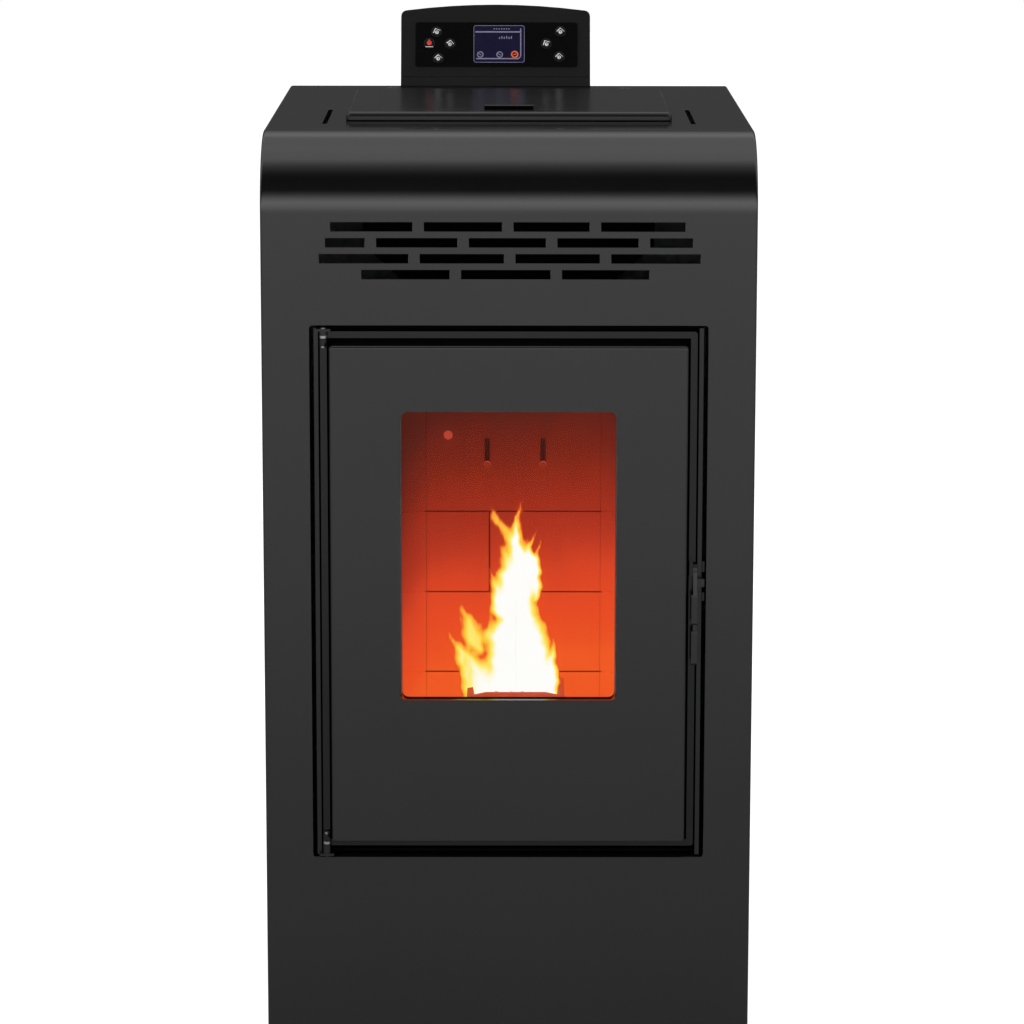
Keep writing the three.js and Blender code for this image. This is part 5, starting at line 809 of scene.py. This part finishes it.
def rope_tree():
    """A rope of three laid strands along the start mesh's edges."""
    grower = Grower("rope", Strand="Float", Lay="Float", Turns="Float", Steps="Int",
                    Finish="Material")
    path = grower.node("GeometryNodeMeshToCurve", {}, {"Mesh": grower.inputs["Start"]})
    path = grower.node("GeometryNodeResampleCurve", {},
                       {"Curve": path, "Count": grower.inputs["Steps"]})
    profile = grower.node("GeometryNodeCurvePrimitiveCircle", {"mode": "RADIUS"},
                          {"Resolution": 8, "Radius": grower.inputs["Strand"]}).outputs["Curve"]
    share = grower.amount("GeometryNodeSplineParameter", {}, {}, "Factor")
    normal = grower.node("GeometryNodeInputNormal").outputs["Normal"]
    tangent = grower.node("GeometryNodeInputTangent").outputs["Tangent"]
    across = grower.vector("CROSS_PRODUCT", tangent, normal)
    lay = Amount(grower, grower.inputs["Lay"])
    turns = Amount(grower, grower.inputs["Turns"])
    strands = grower.node("GeometryNodeJoinGeometry")
    for strand in range(3):
        angle = share * turns * (2 * math.pi) + 2 * math.pi * strand / 3
        over = grower.vector("SCALE", normal, grower.math("COSINE", angle) * lay)
        aside = grower.vector("SCALE", across, grower.math("SINE", angle) * lay)
        offset = grower.vector("ADD", over, aside)
        moved = grower.node("GeometryNodeSetPosition", {}, {"Geometry": path, "Offset": offset})
        tube = grower.node("GeometryNodeCurveToMesh", {}, {"Curve": moved, "Profile Curve": profile})
        grower.tree.links.new(tube.outputs[0], strands.inputs[0])
    grower.end(strands)
    return grower


def rounded_loop(x0, x1, z0, z1, radius, steps=8):
    """(x, z) points round a rectangle with round corners."""
    corners = ((x1 - radius, z1 - radius, 0), (x0 + radius, z1 - radius, 90),
               (x0 + radius, z0 + radius, 180), (x1 - radius, z0 + radius, 270))
    return [point for x, z, start in corners
            for point in arc(x, z, radius, start, start + 90, steps)]


def add_rope():
    depth = (GASKET_LOW.y + GASKET_HIGH.y) / 2
    inset = 5.5 * MM
    points = [(x, depth, z) for x, z in rounded_loop(
        GASKET_LOW.x + inset, GASKET_HIGH.x - inset, GASKET_LOW.z + inset,
        GASKET_HIGH.z - inset, 9.5 * MM)]
    mesh = bpy.data.meshes.new("rope_path")
    count = len(points)
    mesh.from_pydata(points, [(k, (k + 1) % count) for k in range(count)], [])
    made = rope_tree().grown(mesh, {"Strand": 3.0 * MM, "Lay": 2.9 * MM, "Turns": 64.0,
                                    "Steps": 1024, "Finish": finishes["rope"]})
    piece = add_piece("door_rope", made, finishes["rope"], "door")
    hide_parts("door_gasket")


# ------------------------------------------------------------------ control panel marks

def panel_marks(name, outlines, face, ink, body="cabinet"):
    """Thin raised marks on the panel. Each outline is a list of (x, z) points on its face."""
    work = bmesh.new()
    for outline in outlines:
        front, rear = ([work.verts.new(PANEL @ Vector((x, y, z))) for x, z in outline]
                       for y in (face - INK_THICKNESS, face))
        work.faces.new(front)
        work.faces.new(rear)
        band(work, front, rear)
    add_piece(name, mesh_of(work, name), ink, body)


def bar(x0, z0, x1, z1, width):
    """The outline of a straight stroke."""
    along = Vector((x1 - x0, z1 - z0)).normalized() * width / 2
    across = Vector((-along.y, along.x))
    return [(x0 + across.x, z0 + across.y), (x0 - across.x, z0 - across.y),
            (x1 - across.x, z1 - across.y), (x1 + across.x, z1 + across.y)]


def strokes_along(points, width):
    """Straight strokes end to end."""
    return [bar(*a, *b, width) for a, b in zip(points, points[1:])]


def arc_bars(x, z, radius, width, start, end, steps):
    return strokes_along(arc(x, z, radius, start, end, steps), width)


def key_centre(node):
    """A key's middle in the panel's own frame."""
    low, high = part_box(node)
    middle = PANEL.inverted() @ ((low + high) / 2)
    return middle.x, middle.z


def roof_mark(x, z, size, lean):
    """A small roof over a round spot: one slope bold, the other thin."""
    turn = Matrix.Rotation(math.radians(lean), 2)

    def at(px, pz):
        spot = turn @ Vector((px * size, pz * size))
        return x + spot.x, z + spot.y

    bold = bar(*at(-4.2, -0.6), *at(0, 3.6), 1.0 * MM)
    thin = bar(*at(0, 3.6), *at(4.6, -0.6), 0.5 * MM)
    ring = arc_bars(*at(0, -1.4), 1.7 * size, 0.9 * MM, 0, 360, 10)
    tick = bar(*at(-1.0, -0.9), *at(0.2, -2.2), 0.7 * MM)
    return [bold, thin, *ring, tick]


def add_panel_marks():
    # The print on the keys glows as painted light; the display's marks glow as its lit segments.
    white = glowing_ink("white_ink", (0.62, 0.62, 0.62), (0.26, 0.26, 0.26))
    red = glowing_ink("red_ink", (0.55, 0.045, 0.035), (0.26, 0.02, 0.014))
    grey = glowing_ink("screen_grey", (0.16, 0.155, 0.21), (0.08, 0.076, 0.12))
    orange = glowing_ink("screen_orange", (0.6, 0.11, 0.03), (0.32, 0.05, 0.014))
    size = 0.92 * MM
    roofs = {"key_left_top": 20, "key_left_inner": -8, "key_left_bottom": 0, "key_right_top": 0,
             "key_right_inner": 25, "key_right_bottom": 0}
    for node, lean in roofs.items():
        x, z = key_centre(node)
        panel_marks(node + "_mark", roof_mark(x, z - 0.6 * MM, size, lean), KEY_FACE, white,
                    node + "_body")
    x, z = key_centre("key_power")
    flame = [circle(x, z - 0.6 * MM, 2.7 * MM, 14),
             [(x - 2.2 * MM, z), (x + 2.2 * MM, z), (x, z + 3.9 * MM)]]
    panel_marks("key_power_mark", flame, KEY_FACE, red, "key_power_body")
    line = bar(x - 4.2 * MM, z - 5.0 * MM, x + 4.2 * MM, z - 5.0 * MM, 0.7 * MM)
    panel_marks("key_power_line", [line], KEY_FACE, white, "key_power_body")
    left, right, low, high = DISPLAY_LEFT, DISPLAY_RIGHT, DISPLAY_LOW, DISPLAY_HIGH
    top_line = high - 7.6 * MM
    side_line = right - 4.4 * MM
    floor_line = low + 4.6 * MM
    bend = 4 * MM
    strokes = [
        bar(left + 2 * MM, top_line, side_line, top_line, 1.5 * MM),
        bar(side_line, high - 3.6 * MM, side_line, floor_line + bend, 1.3 * MM),
        bar(left + 3 * MM, floor_line, side_line - bend, floor_line, 1.3 * MM),
        *arc_bars(side_line - bend, floor_line + bend, bend, 1.3 * MM, 270, 360, 5),
    ]
    for cx in (left + 7.5 * MM, (left + right) / 2 + 0.6 * MM):
        strokes += arc_bars(cx, low + 9.2 * MM, 3.1 * MM, 1.2 * MM, 0, 360, 12)
        strokes.append(bar(cx - 1.4 * MM, low + 10.2 * MM, cx + 1.2 * MM, low + 8.4 * MM, 0.9 * MM))
    for k, height in enumerate((2.0, 3.0, 2.4, 3.2, 2.2, 3.0)):
        cx = (left + right) / 2 + (0.5 + 2.6 * k) * MM
        strokes.append(bar(cx, high - 15.5 * MM, cx, high - (15.5 - height) * MM, 1.1 * MM))
    for k in range(7):
        cx = (left + right) / 2 - (6 - 2.7 * k) * MM
        strokes.append(bar(cx, high - 4.2 * MM, cx + 1.4 * MM, high - 4.2 * MM, 1.1 * MM))
    panel_marks("display_frame_lines", strokes, DISPLAY_FACE, grey)
    rim = 0.5 * MM
    edge = rounded_loop(left + rim, right - rim, low + rim, high - rim, 2.4 * MM, 4)
    panel_marks("display_rim_line", strokes_along(edge + edge[:1], rim), DISPLAY_FACE, grey)
    cx = right - 11.0 * MM
    panel_marks("display_orange_mark", arc_bars(cx, low + 9.4 * MM, 3.4 * MM, 1.5 * MM, 0, 360, 14)
                + [bar(cx - 1.6 * MM, low + 9.0 * MM, cx + 1.6 * MM, low + 9.9 * MM, 1.1 * MM)],
                DISPLAY_FACE, orange)


# ------------------------------------------------------------------ fire

# The flame's tongues in the plane of the fire. Each runs from its foot to its tip along places given
# as millimetres right of the cabinet's middle, millimetres above the floor and half its width there.
# It is hottest in the middle, and cools over the given depth to nothing at its edge.
TONGUES = [
    {"heat": 1.0, "depth": 16, "places": [
        (14, 350, 36), (14, 366, 38), (13, 385, 38.5), (11, 402, 36.5), (9.5, 419, 35), (9, 430, 29),
        (9, 440, 26), (7.5, 455, 24.5), (7, 467, 25), (9, 479, 25), (12.5, 490, 21.5), (11, 503, 18.5),
        (9.5, 513, 14), (7, 523, 9.5), (7.5, 534, 7), (9.5, 546, 4.6), (11, 556, 2.4),
        (12.5, 567, 0.4)]},
    {"heat": 0.9, "depth": 5, "places": [
        (12, 480, 9), (11, 503, 7), (8.5, 518, 5), (6.5, 530, 3.4), (7, 540, 2.2), (9, 549, 0.6)]},
    {"heat": 0.7, "depth": 9, "places": [
        (-8, 452, 11), (-12, 470, 8), (-15, 483, 4.4), (-18, 494, 0.6)]},
    {"heat": 0.34, "depth": 6, "places": [
        (4, 522, 8), (-3, 533, 7), (-10, 542, 6), (-15.5, 551, 3.4), (-19, 559, 0.4)]},
    {"heat": 0.5, "depth": 8, "places": [(-1, 490, 8), (-3, 503, 7), (-5, 514, 4), (-7, 522, 0.4)]},
    {"heat": 0.7, "depth": 6, "places": [(18, 498, 8), (21.5, 516, 4), (25, 526, 2), (27, 534, 0.4)]},
    {"heat": 0.7, "depth": 6, "places": [
        (24, 490, 8), (27.5, 506, 3.6), (31, 515, 1.8), (33.5, 522, 0.4)]},
    {"heat": 0.8, "depth": 7, "places": [(22, 503, 8), (27, 489, 8), (27.5, 475, 7), (28, 463, 3.5)]},
    {"heat": 0.56, "depth": 9, "places": [
        (-22, 350, 23), (-25, 365, 22), (-33, 384, 19.5), (-41, 397, 14), (-50, 410, 8),
        (-57.5, 421, 3.2), (-60.5, 431, 0.4)]},
    {"heat": 0.5, "depth": 8, "places": [(-24, 352, 12), (-26, 372, 12), (-31, 386, 8), (-37, 400, 2)]},
    {"heat": 0.5, "depth": 9, "places": [
        (-30, 411, 9), (-34, 419, 13), (-37.5, 430, 12), (-42, 441, 8.5), (-46, 451, 4),
        (-48.5, 461, 0.4)]},
    {"heat": 0.3, "depth": 9, "places": [(-20, 425, 9), (-18, 437, 6), (-17, 449, 1)]},
    {"heat": 0.7, "depth": 6, "places": [
        (40, 350, 13), (42, 378, 10), (44, 398, 6.6), (45.5, 413, 3), (45.5, 424, 0.4)]},
]


def tongue_heat(tongue, x, z):
    """How hot a tongue is at a place."""
    spot = Vector((x, z))
    deepest = 0.0
    for (x0, z0, half0), (x1, z1, half1) in zip(tongue["places"], tongue["places"][1:]):
        start, along = Vector((x0, z0)), Vector((x1 - x0, z1 - z0))
        share = min(max((spot - start).dot(along) / along.length_squared, 0), 1)
        aside = (spot - start - along * share).length
        deepest = max(deepest, half0 + (half1 - half0) * share - aside)
    return tongue["heat"] * min(deepest / tongue["depth"], 1)


def flame_heat(x, z):
    """All the tongues together: where they overlap, the flame is hotter. A little sway makes
    its edges uneven."""
    x += 0.9 * math.sin(z * 0.21) + 0.5 * math.sin(z * 0.47 + x * 0.2)
    cold = 1.0
    for tongue in TONGUES:
        cold *= 1 - tongue_heat(tongue, x, z)
    return 1 - cold


def flame_slab(name, place):
    """A thin closed sheet of fire, cut to the flame's outline. place(x, z, side) puts it in the
    frame."""
    work = bmesh.new()
    layer = work.verts.layers.float.new("flame_heat")
    columns, rows, step = 84, 136, 1.6
    x0, z0 = -68, 352
    faintest = 0.02
    heat = [[flame_heat(x0 + i * step, z0 + j * step) for j in range(rows)] for i in range(columns)]
    corners = {}

    def corner(i, j, side):
        key = (i, j, side)
        if key not in corners:
            made = work.verts.new(place(x0 + i * step, z0 + j * step, side))
            made[layer] = heat[i][j]
            corners[key] = made
        return corners[key]

    def lit(i, j):
        inside = 0 <= i < columns - 1 and 0 <= j < rows - 1
        return inside and max(heat[i][j], heat[i + 1][j], heat[i + 1][j + 1],
                              heat[i][j + 1]) > faintest

    for i in range(columns - 1):
        for j in range(rows - 1):
            if not lit(i, j):
                continue
            ring = [(i, j), (i + 1, j), (i + 1, j + 1), (i, j + 1)]
            work.faces.new([corner(*spot, 0) for spot in ring])
            work.faces.new([corner(*spot, 1) for spot in reversed(ring)])
            beyond = [(i, j - 1), (i + 1, j), (i, j + 1), (i - 1, j)]
            for k, cell in enumerate(beyond):
                if not lit(*cell):
                    a, b = ring[k], ring[(k + 1) % 4]
                    work.faces.new((corner(*b, 0), corner(*a, 0), corner(*a, 1), corner(*b, 1)))
    return mesh_of(work, name, 180)


def add_fire():
    fire = flame_light("flame")
    centre_x, centre_y = POT_MIDDLE.x, POT_MIDDLE.y
    thin = 0.12 * MM

    def facing(x, z, side):
        """Across the cabinet, bowed a little towards the glass in the middle."""
        bow = 6 * MM * math.cos(math.pi * (x - 8) / 140)
        return Vector((x * MM, centre_y - bow + side * thin, z * MM))

    def crossing(x, z, side):
        """From front to back, through the pot's middle."""
        return Vector((centre_x + side * thin, centre_y + (x - 6) * 0.62 * MM, z * MM))

    add_piece("flame", flame_slab("flame", facing), fire, "pot")
    add_piece("flame_across", flame_slab("flame_across", crossing), fire, "pot")


def ember_tree():
    """Short pellets strewn over the start mesh."""
    grower = Grower("embers", Pellet="Object", Density="Float", Seed="Int", Finish="Material")
    points = grower.node("GeometryNodeDistributePointsOnFaces", {},
                         {"Mesh": grower.inputs["Start"], "Density": grower.inputs["Density"],
                          "Seed": grower.inputs["Seed"]})
    pellet = grower.node("GeometryNodeObjectInfo", {}, {"Object": grower.inputs["Pellet"]})
    turn = grower.node("FunctionNodeRandomValue", {"data_type": "FLOAT_VECTOR"},
                       {"Min": (1.2, 0.0, 0.0), "Max": (1.95, 0.4, 6.28),
                        "Seed": grower.inputs["Seed"]}).outputs[0]
    placed = grower.node("GeometryNodeInstanceOnPoints", {},
                         {"Points": points.outputs["Points"], "Instance": pellet.outputs["Geometry"],
                          "Rotation": turn})
    grower.end(placed)
    return grower


def add_embers():
    glow = embers("embers")
    wall, heap, steps = 8 * MM, 5 * MM, 12
    low, size = POT_LOW, POT_HIGH - POT_LOW
    bed_low, bed_high = POT_HIGH.z - 26 * MM, POT_HIGH.z - 15 * MM
    work = bmesh.new()
    swell = [math.sin(math.pi * k / steps) for k in range(steps + 1)]
    top = [[work.verts.new((low.x + wall + (size.x - 2 * wall) * i / steps,
                            low.y + wall + (size.y - 2 * wall) * j / steps,
                            bed_high + heap * swell[i] * swell[j]))
            for j in range(steps + 1)] for i in range(steps + 1)]
    for i in range(steps):
        for j in range(steps):
            work.faces.new((top[i][j], top[i + 1][j], top[i + 1][j + 1], top[i][j + 1]))
    strewn = bpy.data.meshes.new("ember_places")
    work.to_mesh(strewn)
    walls = bmesh.ops.extrude_face_region(work, geom=work.faces[:])
    for item in walls["geom"]:
        if isinstance(item, bmesh.types.BMVert):
            item.co.z = bed_low
    add_piece("ember_bed", mesh_of(work, "ember_bed"), glow, "pot")
    pellet = bpy.data.objects.new("pellet", turned(
        [(0, -6 * MM), (2.6 * MM, -6 * MM), (3 * MM, -5.5 * MM), (3 * MM, 5.5 * MM),
         (2.6 * MM, 6 * MM), (0, 6 * MM)], 8))
    mesh = ember_tree().grown(strewn, {"Pellet": pellet, "Density": 34000.0, "Seed": 3,
                                       "Finish": glow})
    bpy.data.objects.remove(pellet)
    add_piece("ember_pellets", mesh, glow, "pot")


# ------------------------------------------------------------------ studio

# What the gloss reflects: the studio's brightness by the direction's height, in degrees from the
# horizon in front of the stove, over the top, to the horizon behind it.
STUDIO_FRONT = [(-18, 0.36), (-12, 0.53), (-6, 0.58), (-1, 0.7), (3, 0.98), (11, 1.3), (17, 0.84),
                (23, 0.27), (29, 0.012), (50, 0.004), (57, 0.07), (68, 0.3), (80, 0.84), (100, 0.84),
                (118, 0.66), (130, 0.57), (136, 0.72), (143, 0.62), (150, 0.38), (158, 0.17),
                (165, 0.085), (180, 0.06)]

# How bright the floor looks in the enamel, by the distance in metres in front of the middle: a painted
# shadow that darkens it near the stove.
FLOOR_REACH = 8.0
FLOOR_SHADOW_AHEAD = [(0.5, 0.235), (0.8, 0.28), (1.3, 0.31), (2.4, 0.4), (3.2, 0.46), (5.8, 0.52),
               (7.1, 0.57), (8.0, 0.6)]


WHITE = (1, 1, 1)


def sight(tree):
    """The light path's outputs, and a 1 for what the camera sees, straight or through glass."""
    ray = tree.node("ShaderNodeLightPath").outputs
    seen = Amount(tree, ray["Is Camera Ray"]) + Amount(tree, ray["Is Transmission Ray"])
    return ray, seen.clamped(0, 1)


def brightness(tree, place, table, start, end):
    """The table's grey at a place that runs from start to end."""
    stops = [((at - start) / (end - start), (level,) * 3) for at, level in table]
    share = ((place - start) / (end - start)).clamped(0, 1)
    return tree.node("ShaderNodeValToRGB", {"stops": stops}, {"Fac": share}).outputs["Color"]


def studio():
    world = bpy.data.worlds.new("studio")
    bpy.context.scene.world = world
    tree = Tree(cleared(world))
    ray, seen = sight(tree)
    x, y, z = tree.split(tree.node("ShaderNodeTexCoord").outputs["Generated"])
    turn = tree.math("ARCTAN2", z, -y) * (180 / math.pi)
    glossy = brightness(tree, turn, STUDIO_FRONT, STUDIO_FRONT[0][0], STUDIO_FRONT[-1][0])
    plain = tree.node("ShaderNodeBackground", {}, {"Color": WHITE, "Strength": 0.7})
    mirrored = tree.node("ShaderNodeBackground", {}, {"Color": glossy})
    white = tree.node("ShaderNodeBackground", {}, {"Color": WHITE})
    lit = tree.node("ShaderNodeMixShader", {}, {0: ray["Is Glossy Ray"], 1: plain, 2: mirrored})
    whole = tree.node("ShaderNodeMixShader", {}, {0: seen, 1: lit, 2: white})
    tree.node("ShaderNodeOutputWorld", {}, {"Surface": whole})


def lamp(name, power, size, place, target):
    data = bpy.data.lights.new(name, "AREA")
    data.energy = power
    data.shape = "RECTANGLE"
    data.size, data.size_y = size
    thing = new_object(name, data)
    thing.location = place
    thing.rotation_euler = (Vector(target) - Vector(place)).to_track_quat("-Z", "Y").to_euler()
    thing.visible_glossy = False


def floor():
    half = 14.0
    mesh = bpy.data.meshes.new("floor")
    mesh.from_pydata([(-half, -half, 0), (half, -half, 0), (half, half, 0), (-half, half, 0)], [],
                     [(0, 1, 2, 3)])
    thing = new_object("floor", mesh)
    material = bpy.data.materials.new("pale_floor")
    tree = Tree(cleared(material))
    ray, seen = sight(tree)
    matt = tree.node("ShaderNodeBsdfDiffuse", {}, {"Color": (0.3, 0.3, 0.3)})
    glow = tree.node("ShaderNodeEmission", {}, {"Color": WHITE, "Strength": 0.9})
    shown = tree.node("ShaderNodeAddShader", {}, {0: matt, 1: glow})
    plain = tree.node("ShaderNodeBsdfDiffuse", {}, {"Color": (0.8, 0.8, 0.8)})
    x, y, z = tree.split(tree.node("ShaderNodeNewGeometry").outputs["Position"])
    # The floor as the enamel reflects it carries a painted shadow, darker near the stove.
    level = brightness(tree, -y, FLOOR_SHADOW_AHEAD, 0, FLOOR_REACH)
    painted_floor_shadow = tree.node("ShaderNodeEmission", {}, {"Color": level})
    other = tree.node("ShaderNodeMixShader", {}, {0: ray["Is Glossy Ray"], 1: plain, 2: painted_floor_shadow})
    whole = tree.node("ShaderNodeMixShader", {}, {0: seen, 1: other, 2: shown})
    tree.node("ShaderNodeOutputMaterial", {}, {"Surface": whole})
    mesh.materials.append(material)


def camera():
    data = bpy.data.cameras.new("camera")
    data.sensor_width = 36
    data.lens = 141.87
    data.clip_end = 100
    thing = new_object("camera", data)
    pitch, yaw, roll = math.radians(10.945), math.radians(-0.0902), math.radians(0.0794)
    turn = (Matrix.Rotation(yaw, 4, "Z") @ Matrix.Rotation(math.pi / 2 - pitch, 4, "X")
            @ Matrix.Rotation(roll, 4, "Z"))
    thing.matrix_world = Matrix.Translation((-0.00276, -4.17072, 1.32167)) @ turn
    bpy.context.scene.camera = thing


camera()
dress_nodes()
add_rope()
add_screws()
add_collars()
add_panel_marks()
add_embers()
add_fire()
studio()
floor()
lamp("left_softbox", 60, (1.6, 2.0), (-2.4, -2.6, 2.2), (0, 0, 0.5))
lamp("right_softbox", 45, (1.6, 2.0), (2.6, -2.2, 2.0), (0, 0, 0.5))
lamp("back_softbox", 50, (2.0, 1.6), (0.6, 3.0, 2.4), (0, 0, 0.5))
bpy.context.scene.view_settings.view_transform = "Standard"
